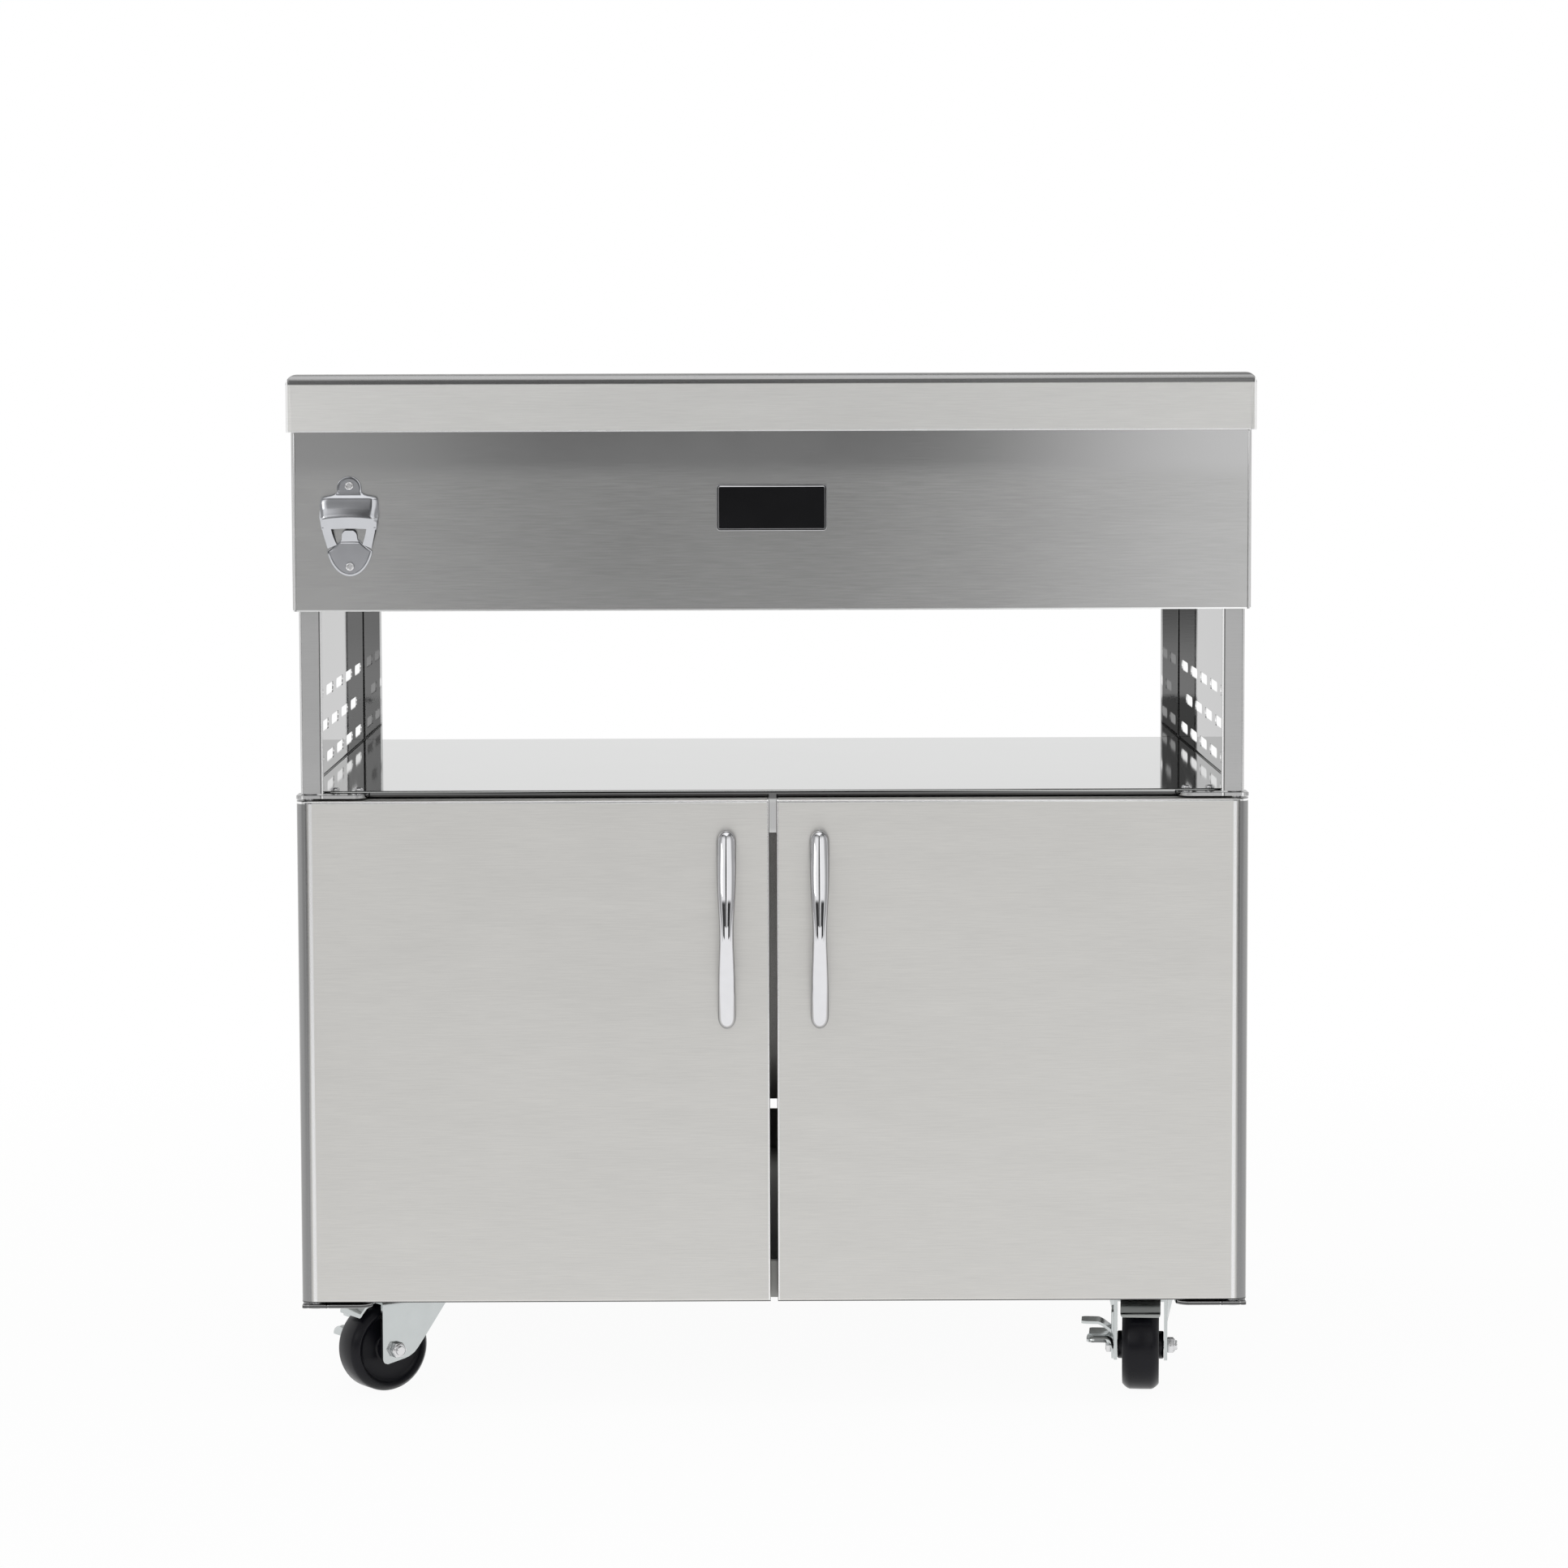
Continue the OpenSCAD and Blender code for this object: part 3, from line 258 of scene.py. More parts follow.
def brushed_sheet(
    name, colour, roughness, streak, cloud, stretch, grazing=1.0, painted_lines=(), bright_behind=None, painted_end_light=0.0
):
    """Steel with level scratches.

    streak and cloud say how much the scratches and the whole sheet vary, stretch how long the gloss is
    drawn out, and grazing how bright the sheet is at a flat angle.
    painted_end_light says how much paler the ends of a long sheet are painted than its middle: painted
    light.
    painted_lines are (axis, place, half width, tone) of lines where light and shade are painted into the
    colour, with the tone painted there.
    bright_behind is a y place: behind it the sheet keeps its bright mill finish."""
    material, tree = new_finish(name)
    x, y, z = tree.place()
    up = tree.facing()[2]
    flat = up.math("GREATER_THAN", up.size(), FLAT_FROM)
    along = (x + y) / BELT_LENGTH
    across = flat * y + (1.0 - flat) * z
    scratches = tree.noise(along, across / SCRATCH_WIDTH, detail=3.0, roughness=0.65) - 0.5
    bands = tree.noise(along * BAND_STRETCH, across / BAND_WIDTH, 5.0) - 0.5
    clouds = tree.noise(*[side * CLOUDS_PER_METRE for side in (x, z, y)], detail=3.0) - 0.5
    # Painted light: the ends of a long sheet are painted paler than its middle, as its reflections fall.
    painted_ends = x.size().soft_step(*PAINTED_END_SPAN) - 0.5
    shade = 0.5 + scratches * streak + bands * (BAND_SHARE * streak) + clouds * cloud + painted_ends * painted_end_light
    gloss = roughness + scratches * (GLOSS_OF_SCRATCHES * roughness) + clouds * (GLOSS_OF_CLOUDS * roughness)
    if bright_behind is not None:
        behind = y.soft_step(bright_behind - MILL_EDGE, bright_behind + MILL_EDGE)
        gloss = gloss * (1.0 - behind) + MILL_ROUGHNESS * behind
    dark, light = [[value * share for value in colour] for share in TONE_RANGE]
    tone = tree.tint(dark, light, shade)
    # Painted light and shade along the listed lines: the tone there replaces the sheet's colour, pale for a
    # painted highlight, dark for painted shade.
    for axis, place, half, value in painted_lines:
        away = {"x": x.size(), "y": y, "z": z}[axis] - place
        painted_line_mask = 1.0 - away.size().soft_step(0.5 * half, half)
        fold = {0: painted_line_mask, 6: tone, 7: (value, value, value, 1.0)}
        tone = tree.node("ShaderNodeMix", {"data_type": "RGBA"}, fold, output=2)
        gloss = gloss * (1.0 - GLOSS_UNDER_PAINTED_LINES * painted_line_mask)
    tree.principled({
        "Metallic": 1.0,
        "Base Color": tone,
        "Roughness": gloss,
        "Specular Tint": (grazing, grazing, grazing, 1.0),
        "Anisotropic": stretch,
        "Anisotropic Rotation": 0.25,
        "Normal": tree.relief(scratches, SCRATCH_DEPTH, strength=0.3),
    })
    return material


# Painted on the band: dark lines of painted reflection along its rounded top and just below it, and painted
# highlights at its corners and along its lower edge.
BAND_PAINTED_LINES = [
    ("z", 0.9147, 0.0032, 0.42),
    ("z", 0.9104, 0.0026, 0.20),
    ("x", 0.4236, 0.0009, 0.95),
    ("z", 0.8676, 0.0007, 0.95),
]
# Painted on the fascia: a wide band of painted shade under the top band, and painted highlights at its
# corners and along its hem.
FASCIA_PAINTED_LINES = [
    ("z", 0.8680, 0.0500, 0.47),
    ("x", 0.4188, 0.0012, 0.95),
    ("z", 0.7106, 0.0010, 0.95),
]
# Painted on the doors: painted shade over the outer bend, painted highlights where that bend starts, along
# the top edge and along the inner edge, and a painted shade line at the foot.
DOOR_PAINTED_LINES = [
    ("x", 0.4155, 0.0068, 0.30),
    ("x", 0.4078, 0.0020, 0.88),
    ("z", 0.5412, 0.0012, 0.95),
    ("x", 0.0042, 0.0008, 0.95),
    ("z", 0.0955, 0.0009, 0.12),
]
# Painted on the posts: painted highlights along both edges of the front, a painted shade line beside the
# inner one, painted shade and dark reflection on the back flange, and a painted shade line at the foot.
POST_PAINTED_LINES = [
    ("x", 0.3970, 0.0007, 0.95),
    ("x", 0.3983, 0.0006, 0.15),
    ("x", 0.4146, 0.0009, 0.95),
    ("y", 0.3395, 0.0040, 0.26),
    ("z", 0.0915, 0.0013, 0.10),
]
# Painted on the shelf: painted shade over its front fold, and darker painted shade where it shows above the
# doors.
SHELF_PAINTED_LINES = [
    ("z", 0.5260, 0.0200, 0.46),
    ("z", 0.5440, 0.0042, 0.14),
]
POST_BACK = -0.3105

STEELS = {
    # The band and the fascia are painted paler at their ends than in their middle, as painted light.
    "band": brushed_sheet(
        "band_steel", (0.81, 0.805, 0.785), roughness=0.46, streak=0.6, cloud=0.3, stretch=0.3,
        grazing=0.6, painted_lines=BAND_PAINTED_LINES, painted_end_light=0.3,
    ),
    "fascia": brushed_sheet(
        "fascia_steel", (0.462, 0.462, 0.458), roughness=0.24, streak=0.9, cloud=0.4, stretch=0.85,
        painted_lines=FASCIA_PAINTED_LINES, painted_end_light=0.6,
    ),
    "door": brushed_sheet(
        "door_steel", (0.76, 0.75, 0.725), roughness=0.40, streak=0.6, cloud=0.3, stretch=0.5,
        painted_lines=DOOR_PAINTED_LINES,
    ),
    "post": brushed_sheet(
        "post_steel", (0.55, 0.55, 0.55), roughness=0.32, streak=0.5, cloud=0.3, stretch=0.5,
        grazing=0.6, painted_lines=POST_PAINTED_LINES, bright_behind=POST_BACK,
    ),
    "mirror": brushed_sheet(
        "mirror_steel", (0.68, 0.69, 0.68), roughness=0.05, streak=0.3, cloud=0.2, stretch=0.2,
        grazing=0.8, painted_lines=SHELF_PAINTED_LINES,
    ),
    "side": brushed_sheet(
        "side_steel", (0.70, 0.695, 0.68), roughness=0.36, streak=0.6, cloud=0.3, stretch=0.5
    ),
    "plain": brushed_sheet(
        "plain_steel", (0.46, 0.46, 0.455), roughness=0.28, streak=0.4, cloud=0.4, stretch=0.2
    ),
    "inner": brushed_sheet(
        "inner_steel", (0.60, 0.59, 0.57), roughness=0.14, streak=0.5, cloud=0.4, stretch=0.2
    ),
    # The underside steel is painted darker: painted shade under the base and inside the cabinet, where
    # little light reaches.
    "under": brushed_sheet(
        "under_steel_painted_shade", (0.32, 0.32, 0.31), roughness=0.35, streak=0.4, cloud=0.4, stretch=0.2
    ),
}
print("steels:", ", ".join(STEELS))

# %% [markdown]
# ## Chrome, zinc and plastic
#
# Polished chrome is almost a mirror, with the faintest ripple. Zinc plate is a bluish, mottled grey. The
# wheels, the badge and the small mouldings are plastic: a dark or white body under a soft gloss, with a
# fine grain. One function makes each family, so that its pieces differ only in their numbers.

# %% Chrome, zinc and plastics
def polished(name, colour, roughness, grazing):
    """Mirror-bright metal with a faint ripple."""
    material, tree = new_finish(name)
    ripple = tree.speckle(90.0) - 0.5
    tree.principled({
        "Metallic": 1.0,
        "Base Color": tree.tint([0.93 * value for value in colour], colour, ripple + 0.5),
        "Roughness": roughness + ripple * 0.05,
        "Specular Tint": (grazing, grazing, grazing, 1.0),
        "Normal": tree.relief(ripple, distance=0.00003, strength=0.3),
    })
    return material


def zinc_plate(name, colour, roughness):
    """Plated steel with soft spots and a fine grain."""
    material, tree = new_finish(name)
    mottle = tree.speckle(70.0, detail=3.0) - 0.5
    grain = tree.speckle(1500.0)
    tree.principled({
        "Metallic": 1.0,
        "Base Color": tree.tint([0.88 * value for value in colour], colour, mottle + 0.5),
        "Roughness": roughness + mottle * 0.2,
        "Normal": tree.relief(grain, distance=0.00001, strength=0.2),
    })
    return material


def moulded(name, colour, roughness, gloss, lacquer=0.0):
    """Plastic with a grain, a little wear, and lacquer where it has any."""
    material, tree = new_finish(name)
    grain = tree.speckle(900.0, detail=3.0)
    wear = tree.speckle(40.0, detail=4.0) - 0.5
    dark, light = [[share * value for value in colour] for share in (0.75, 1.25)]
    tree.principled({
        "Base Color": tree.tint(dark, light, wear + 0.5),
        "Roughness": roughness + wear * 0.15,
        "Specular IOR Level": gloss,
        "Coat Weight": lacquer,
        "Coat Roughness": 0.05,
        "Normal": tree.relief(grain, distance=0.00002, strength=0.4),
    })
    return material


CHROME = polished("chrome", (0.80, 0.80, 0.82), roughness=0.05, grazing=0.05)
OPENER_STEEL = polished("opener_steel", (0.61, 0.62, 0.65), roughness=0.13, grazing=0.3)
BRIGHT_SCREW = polished("bright_screw", (0.78, 0.78, 0.79), roughness=0.24, grazing=0.3)
ZINC = zinc_plate("zinc_plate", (0.61, 0.64, 0.64), roughness=0.16)
WHEEL_BLACK = moulded("wheel_black", (0.007, 0.007, 0.010), roughness=0.30, gloss=0.22)
BADGE_BLACK = moulded("badge_black", (0.004, 0.004, 0.005), roughness=0.25, gloss=0.15, lacquer=0.12)
CATCH_GREY = moulded("catch_grey", (0.06, 0.06, 0.06), roughness=0.5, gloss=0.4)
BUSH_WHITE = moulded("bush_white", (0.72, 0.72, 0.70), roughness=0.45, gloss=0.5)
print("materials:", len(bpy.data.materials))

# %% [markdown]
# ## From a form to a piece
#
# Each new piece takes the place of one node of the frame, so it moves with the same body and keeps the
# same material slot. `keep` cleans the form, shades it smooth up to an angle, gives it its material,
# records its body and hides the node.

# %% Keep a piece
MM = 0.001


def keep(form, node, material, sharp=35.0, shift=None):
    """Turns a form in millimetres into the piece that stands for a node."""
    bmesh.ops.remove_doubles(form, verts=form.verts, dist=0.001)
    bmesh.ops.recalc_face_normals(form, faces=form.faces)
    bmesh.ops.transform(form, matrix=(shift or Matrix()), verts=form.verts)
    bmesh.ops.transform(form, matrix=Matrix.Scale(MM, 4), verts=form.verts)
    for face in form.faces:
        face.smooth = True
    for edge in form.edges:
        edge.smooth = len(edge.link_faces) < 2 or edge.calc_face_angle() < math.radians(sharp)
    name = node + "_shaped"
    mesh = bpy.data.meshes.new(name)
    form.to_mesh(mesh)
    form.free()
    mesh.materials.append(material)
    piece = bpy.data.objects.new(name, mesh)
    bpy.context.scene.collection.objects.link(piece)
    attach(piece, frame["nodes"][node]["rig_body"])
    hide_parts(node)


def revolve(form, profile, steps):
    """Spins a closed profile of (radius, place along x) points about the x axis."""
    points = [form.verts.new((place, 0.0, radius)) for radius, place in profile]
    edges = [form.edges.new(pair) for pair in zip(points, points[1:] + points[:1])]
    bmesh.ops.spin(
        form, geom=points + edges, cent=(0, 0, 0), axis=(1, 0, 0), angle=2 * math.pi,
        steps=steps, use_merge=True,
    )


def sheet_grid(form, shape, thickness, columns, rows):
    """A bent sheet: shape(u, v) gives the point for u across and v along, both 0 to 1."""
    known = set(form.verts)
    bmesh.ops.create_grid(form, x_segments=columns, y_segments=rows, size=0.5)
    fresh = [vert for vert in form.verts if vert not in known]
    for vert in fresh:
        vert.co = shape(vert.co.x + 0.5, vert.co.y + 0.5)
    faces = [face for face in form.faces if face.verts[0] not in known]
    bmesh.ops.recalc_face_normals(form, faces=faces)
    bmesh.ops.solidify(form, geom=faces, thickness=thickness)


def slab(form, points, thickness, bevel):
    """A plate with an outline of (x, z) points and rounded edges, its back on y = 0."""
    known = set(form.verts)
    face = form.faces.new([form.verts.new((x, 0.0, z)) for x, z in points])
    grown = bmesh.ops.extrude_face_region(form, geom=[face])
    front = [item for item in grown["geom"] if isinstance(item, bmesh.types.BMVert)]
    bmesh.ops.translate(form, vec=(0.0, -thickness, 0.0), verts=front)
    rim = [edge for edge in form.edges if all(vert in front for vert in edge.verts)]
    bmesh.ops.bevel(form, geom=rim, offset=bevel, segments=3, profile=0.5, affect="EDGES", material=-1)
    return [vert for vert in form.verts if vert not in known]


def along(path, t):
    """A point on a list of points, with t from 0 to 1 measured by length."""
    spans = [math.dist(a, b) for a, b in zip(path, path[1:])]
    left = t * sum(spans)
    for a, b, span in zip(path, path[1:], spans):
        if left <= span:
            return [p + (q - p) * left / span for p, q in zip(a, b)]
        left -= span
    return list(path[-1])


def crossing(line, height):
    """Where a line of (place, height) points lies at a height."""
    for (place0, height0), (place1, height1) in zip(line, line[1:]):
        if height <= height1:
            return place0 + (place1 - place0) * max(height - height0, 0.0) / (height1 - height0)
    return line[-1][0]


def into_end(value, span):
    """How far a value is into the last span before 1, from 0 at its start to 1 at its end."""
    return max(value - (1.0 - span), 0.0) / span


print("form helpers ready")

# %% [markdown]
# ## Wheels
#
# A castor wheel is one moulding: a tread, a dished web with a narrow lip round it, and a hub. All of it
# is round, so it is spun from a half section of (radius, distance from the middle) points. The corners of
# the tread get a few more points than the frame has, because a moulded wheel has no sharp edges.
# `CASTORS` says how far each castor has swivelled, in degrees.

# %% Castor wheels
CASTORS = {
    "front_left": -55.0,
    "front_right": -5.0,
    "rear_left": -25.0,
    "rear_right": -50.0,
}
TRAIL = 26.0
WHEEL_RADIUS = 40.0
HALF_WHEEL = [
    (40.0, 0.0), (39.9, 9.5), (39.2, 11.6), (37.6, 13.8), (35.6, 15.8), (34.6, 16.5), (33.4, 16.5),
    (32.6, 15.9), (31.4, 13.8), (29.8, 12.2), (27.6, 11.5), (15.0, 11.5), (13.4, 12.0), (12.7, 13.2),
    (12.5, 20.0), (11.7, 20.8), (4.3, 20.8),
]


def castor_shift(name):
    """From castor coordinates, with the swivel axis at the origin, to the cart."""
    low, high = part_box(name + "_mount")
    middle = (low + high) / (2.0 * MM)
    turn = Matrix.Rotation(math.radians(CASTORS[name]), 4, "Z")
    return Matrix.Translation((middle.x, middle.y, 0.0)) @ turn


def at_axle(form):
    """Moves a form from the origin to the axle."""
    bmesh.ops.translate(form, vec=(0.0, -TRAIL, WHEEL_RADIUS), verts=form.verts)


for name in CASTORS:
    form = bmesh.new()
    section = HALF_WHEEL + [(radius, -place) for radius, place in reversed(HALF_WHEEL[1:])]
    revolve(form, section, steps=96)
    at_axle(form)
    keep(form, name + "_wheel", WHEEL_BLACK, sharp=50.0, shift=castor_shift(name))
print("wheels of", len(section), "points in section")

# %% [markdown]
# ## Forks
#
# A fork is one pressed sheet: up one leg, over the crown and down the other leg, with shoulders that
# swell out to the round bearing. So it is made as one grid. Its rows follow the sheet from leg end to leg
# end, its columns run from the rear edge to the front edge, and a bulge moves the shoulders out. A curved
# guard behind the wheel and the spun cup of the bearing complete it.

# %% Fork sheet
FORK_WALL = 3.0
LEG_OUT = 24.1
LEG_FOOT = 27.5
CROWN_Z = 82.0
CROWN_RADIUS = 30.5
SHOULDER_Z = 56.0
SHOULDER_BACK = -13.0
SHOULDER_BLEND = 11.0
SHOULDER_OVAL = 0.8
SHEET_BEND = 3.0
BEND_START = 0.7
BEND_END = 0.8
ROW_SPREAD = 1.25
FRONT_EDGE = [
    (-35.0, 27.4), (-14.0, 31.5), (-7.5, 35.0), (-3.5, 39.0), (5.8, 50.5), (27.0, 78.0), (27.0, 90.0),
]
REAR_EDGE = [(-35.0, 27.4), (-38.6, 28.6), (-40.0, 31.5), (-40.0, 90.0)]


def shoulder(y, z):
    """How far the sheet stands out from the middle, at a place on the leg."""
    rise = min(max((z - SHOULDER_Z) / (CROWN_Z + SHEET_BEND - SHOULDER_Z), 0.0), 1.0)
    radius = LEG_OUT + (CROWN_RADIUS - LEG_OUT) * rise
    blend = min(max((y - SHOULDER_BACK) / SHOULDER_BLEND, 0.0), 1.0)
    reach = math.sqrt(max(radius * radius - SHOULDER_OVAL * y * y, LEG_OUT * LEG_OUT))
    return LEG_OUT + (reach - LEG_OUT) * blend * blend * (3.0 - 2.0 * blend)


def fork_point(u, v):
    """The outer skin of the fork: v runs from one leg end over the crown to the other."""
    side = 1.0 if v < 0.5 else -1.0
    t = 1.0 - abs(2.0 * v - 1.0)
    if t < BEND_START:
        z = LEG_FOOT + (CROWN_Z - LEG_FOOT) * (t / BEND_START) ** ROW_SPREAD
        x = LEG_OUT
    elif t < BEND_END:
        angle = (t - BEND_START) / (BEND_END - BEND_START) * math.pi / 2
        z = CROWN_Z + SHEET_BEND * math.sin(angle)
        x = LEG_OUT - SHEET_BEND * (1.0 - math.cos(angle))
    else:
        z = CROWN_Z + SHEET_BEND
        x = (LEG_OUT - SHEET_BEND) * (1.0 - (t - BEND_END) / (1.0 - BEND_END))
    rear = crossing(REAR_EDGE, z)
    y = rear + (crossing(FRONT_EDGE, z) - rear) * u
    return Vector((side * x * shoulder(y, z) / LEG_OUT, y, z))


GUARD_PATH = [(8.0, 2.0), (-1.0, 2.0), (-6.0, 0.0), (-13.0, -4.0), (-17.5, -9.0), (-19.0, -12.3)]
GUARD_HALF = 18.0
GUARD_WALL = 2.0
GUARD_BACK = -40.0
GUARD_LIFT = 1.0
GUARD_ROUNDING = 0.1
GUARD_NARROWS = 2.0


def guard_point(u, v):
    """The curved guard over the back of the wheel, with round corners at its free edge."""
    y, z = along(GUARD_PATH, v)
    narrow = into_end(v, GUARD_ROUNDING)
    half = GUARD_HALF - GUARD_NARROWS * narrow * narrow
    return Vector(((2.0 * u - 1.0) * half, y + GUARD_BACK, z + CROWN_Z + GUARD_LIFT))


BEARING = [(6.0, 83.0), (30.2, 83.0), (30.5, 84.2), (29.8, 85.4), (27.0, 85.7), (24.0, 85.2), (6.0, 85.6)]

for name in CASTORS:
    form = bmesh.new()
    sheet_grid(form, fork_point, FORK_WALL, columns=22, rows=80)
    sheet_grid(form, guard_point, GUARD_WALL, columns=10, rows=16)
    known = set(form.verts)
    revolve(form, BEARING, steps=64)
    cup = [vert for vert in form.verts if vert not in known]
    bmesh.ops.rotate(form, cent=(0, 0, 0), matrix=Matrix.Rotation(-math.pi / 2, 3, "Y"), verts=cup)
    keep(form, name + "_fork", ZINC, shift=castor_shift(name))
print("forks", CROWN_Z + SHEET_BEND, "mm high")

# %% [markdown]
# ## Axle bolts
#
# On one side there is a hexagon head, on the other a lock nut with a round collar and the end of the
# bolt. Real hexagons are turned at a slant, so that their corners are cut by a cone. Here each of their
# edges is bevelled, and the collar is spun on top.

# %% Axle bolts with heads and nuts
NUT_FLATS = 13.0
NUT_START = LEG_OUT
HEAD_START = 26.7
COLLAR = [(0.0, 5.2), (5.9, 5.2), (5.9, 6.2), (5.2, 6.9), (4.2, 6.9), (4.2, 8.4), (3.6, 9.0), (0.0, 9.0)]
HEAD_TOP = [(0.0, 4.0), (5.7, 4.0), (5.5, 4.6), (4.6, 5.0), (0.0, 5.0)]
SHAFT = [(0.0, -27.0), (4.0, -27.0), (4.0, 25.0), (0.0, 25.0)]
HEAD_HEIGHT = 4.4
NUT_HEIGHT = 5.6


def hexagon(form, start, height, cap):
    """A bevelled hexagon that stands out along x from start, with a round cap."""
    reach = NUT_FLATS / math.sqrt(3.0)
    known = set(form.verts)
    bmesh.ops.create_cone(
        form, cap_ends=True, segments=6, radius1=reach, radius2=reach, depth=height,
        matrix=Matrix.Rotation(math.pi / 2, 4, "Y") @ Matrix.Translation((0, 0, height / 2)),
    )
    edges = [edge for edge in form.edges if edge.verts[0] not in known]
    bmesh.ops.bevel(form, geom=edges, offset=0.55, segments=2, profile=0.5, affect="EDGES", material=-1)
    revolve(form, cap, steps=32)
    fresh = [vert for vert in form.verts if vert not in known]
    bmesh.ops.translate(form, vec=(start, 0.0, 0.0), verts=fresh)
    return fresh


for name in CASTORS:
    form = bmesh.new()
    head = hexagon(form, HEAD_START, HEAD_HEIGHT, HEAD_TOP)
    bmesh.ops.rotate(form, cent=(0, 0, 0), matrix=Matrix.Rotation(math.pi, 3, "Z"), verts=head)
    hexagon(form, NUT_START, NUT_HEIGHT, COLLAR)
    revolve(form, SHAFT, steps=32)
    at_axle(form)
    keep(form, name + "_axle", BRIGHT_SCREW, shift=castor_shift(name))
print("axles with nuts on", len(CASTORS), "castors")

# %% [markdown]
# ## Brake levers
#
# The lever is bent from strip. An arm lies on the leg of the fork, and two tabs stand out from it: the
# foot presses the upper one to lock the wheel and the lower one to free it. Every tab is a sheet grid
# along its bend, with rounded corners at the free end. The lower tab is also folded down along its rear
# edge, which makes it stiff.

# %% Brake levers
LEVER_X = -26.4
LEVER_WALL = 2.0
TAB_WALL = 2.4
TAB_ROUNDING = 0.18
TAB_NARROWS = 0.2
ARM_HALF = 13.0
ARM_CORNERS = [(-13.0, 32.0), (-11.0, 34.0), (11.0, 34.0), (13.0, 32.0)]
LOWER_FOLD = [(12.0, 0.0), (-21.0, 0.0), (-22.8, -0.7), (-23.8, -2.2), (-24.0, -4.0)]
UPPER_FOLD = [(12.0, 0.0), (-12.0, 0.0)]
LOWER_TAB = [(0.0, 4.0), (-0.4, 7.0), (-2.4, 9.6), (-5.0, 10.4), (-20.0, 10.4)]
UPPER_TAB = [(0.5, 12.0), (-3.0, 15.2), (-9.0, 19.4), (-12.0, 20.6), (-27.0, 20.8)]


def tab(path, fold):
    """A shape function for a tab: it runs along a path of (x, z) and across a fold of (y, z) points."""
    def point(u, v):
        """The point for u across the fold and v along the path."""
        x, z = along(path, v)
        y, drop = along(fold, u)
        narrow = into_end(v, TAB_ROUNDING)
        return Vector((LEVER_X + x, y * (1.0 - TAB_NARROWS * narrow**3), z + drop))
    return point


for name in ("front_left", "front_right"):
    form = bmesh.new()
    turn = [math.radians(angle) for angle in range(0, -181, -15)]
    round_end = [(ARM_HALF * math.cos(a), ARM_HALF * math.sin(a)) for a in turn]
    arm = slab(form, round_end + ARM_CORNERS, LEVER_WALL, bevel=0.5)
    bmesh.ops.rotate(form, cent=(0, 0, 0), matrix=Matrix.Rotation(-math.pi / 2, 3, "Z"), verts=arm)
    bmesh.ops.translate(form, vec=(LEVER_X + LEVER_WALL, 0.0, 0.0), verts=arm)
    sheet_grid(form, tab(LOWER_TAB, LOWER_FOLD), TAB_WALL, columns=24, rows=14)
    sheet_grid(form, tab(UPPER_TAB, UPPER_FOLD), TAB_WALL, columns=24, rows=14)
    at_axle(form)
    keep(form, name + "_brake", ZINC, shift=castor_shift(name))
print("brake levers on the front castors")

# %% [markdown]
# ## Handles
#
# The handles are cast, then polished and chromed: a bow that is broad at both ends and narrow at the
# waist, with an oval section. A loft makes it. One oval ring is extruded from station to station, and
# each station gives the ring its place, width and thickness. Both ends curve back to meet the door.

# %% Handles
HANDLE_HALF = 87.0
HANDLE_REACH = 33.0
THIN_HALF = 4.5
THICKER = 1.6
CAP = 9.0
CAP_OVER = 0.3
END_OUT = 0.6
LEAST_HALF_WIDTH = 0.6
LEAST_THICKNESS = 0.35
WAIST_DOWN = 2.0
WAIST_SPREAD = 33.0
WAIST_HALF = 6.1
TOP_SWELL = 8.6
LOW_SWELL = 7.6
RING_POINTS = 28
STATIONS = 44


def handle_station(t):
    """Height, distance from the door, half width and half thickness for t from -1 (low end) to 1 (top)."""
    height = HANDLE_HALF * math.sin(t * math.pi / 2)
    bow = 1.0 - (height / HANDLE_HALF) ** 2
    waist = math.exp(-(((height + WAIST_DOWN) / WAIST_SPREAD) ** 2))
    swell = TOP_SWELL if height > 0.0 else LOW_SWELL
    past = max(abs(height) - (HANDLE_HALF - CAP), 0.0) / (CAP + CAP_OVER)
    end = math.sqrt(max(1.0 - past * past, 0.0))
    half_width = (swell - (swell - WAIST_HALF) * waist) * end
    half_depth = THIN_HALF + THICKER * (1.0 - bow)
    centre = HANDLE_REACH * bow - half_depth * bow + half_depth * (1.0 - bow) * END_OUT
    return height, centre, max(half_width, LEAST_HALF_WIDTH), half_depth * max(end, LEAST_THICKNESS)


for side, sign in (("left", -1.0), ("right", 1.0)):
    node = side + "_handle"
    low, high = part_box(node)
    middle = (low + high) / (2.0 * MM)
    door_y = high.y / MM
    form = bmesh.new()
    ring = bmesh.ops.create_circle(form, cap_ends=False, segments=RING_POINTS, radius=1.0)["verts"]
    angles = [2.0 * math.pi * index / RING_POINTS for index in range(RING_POINTS)]
    for station in range(STATIONS + 1):
        if station:
            edges = [edge for edge in form.edges if edge.verts[0] in ring and edge.verts[1] in ring]
            grown = bmesh.ops.extrude_edge_only(form, edges=edges)
            fresh = {item for item in grown["geom"] if isinstance(item, bmesh.types.BMVert)}
            near = [[edge.other_vert(vert) for edge in vert.link_edges] for vert in ring]
            ring = [next(other for other in others if other in fresh) for others in near]
        height, centre, half_width, half_depth = handle_station(2.0 * station / STATIONS - 1.0)
        slope = -2.0 * HANDLE_REACH * height / HANDLE_HALF**2
        lean = math.atan(slope)
        for vert, angle in zip(ring, angles):
            out = half_depth * math.cos(angle)
            deep = centre + out * math.cos(lean)
            vert.co = Vector((
                middle.x + half_width * math.sin(angle),
                door_y - min(max(deep, 0.0), HANDLE_REACH),
                middle.z + height + out * math.sin(-lean),
            ))
        if station in (0, STATIONS):
            form.faces.new(ring)
    keep(form, node, CHROME, sharp=60.0)
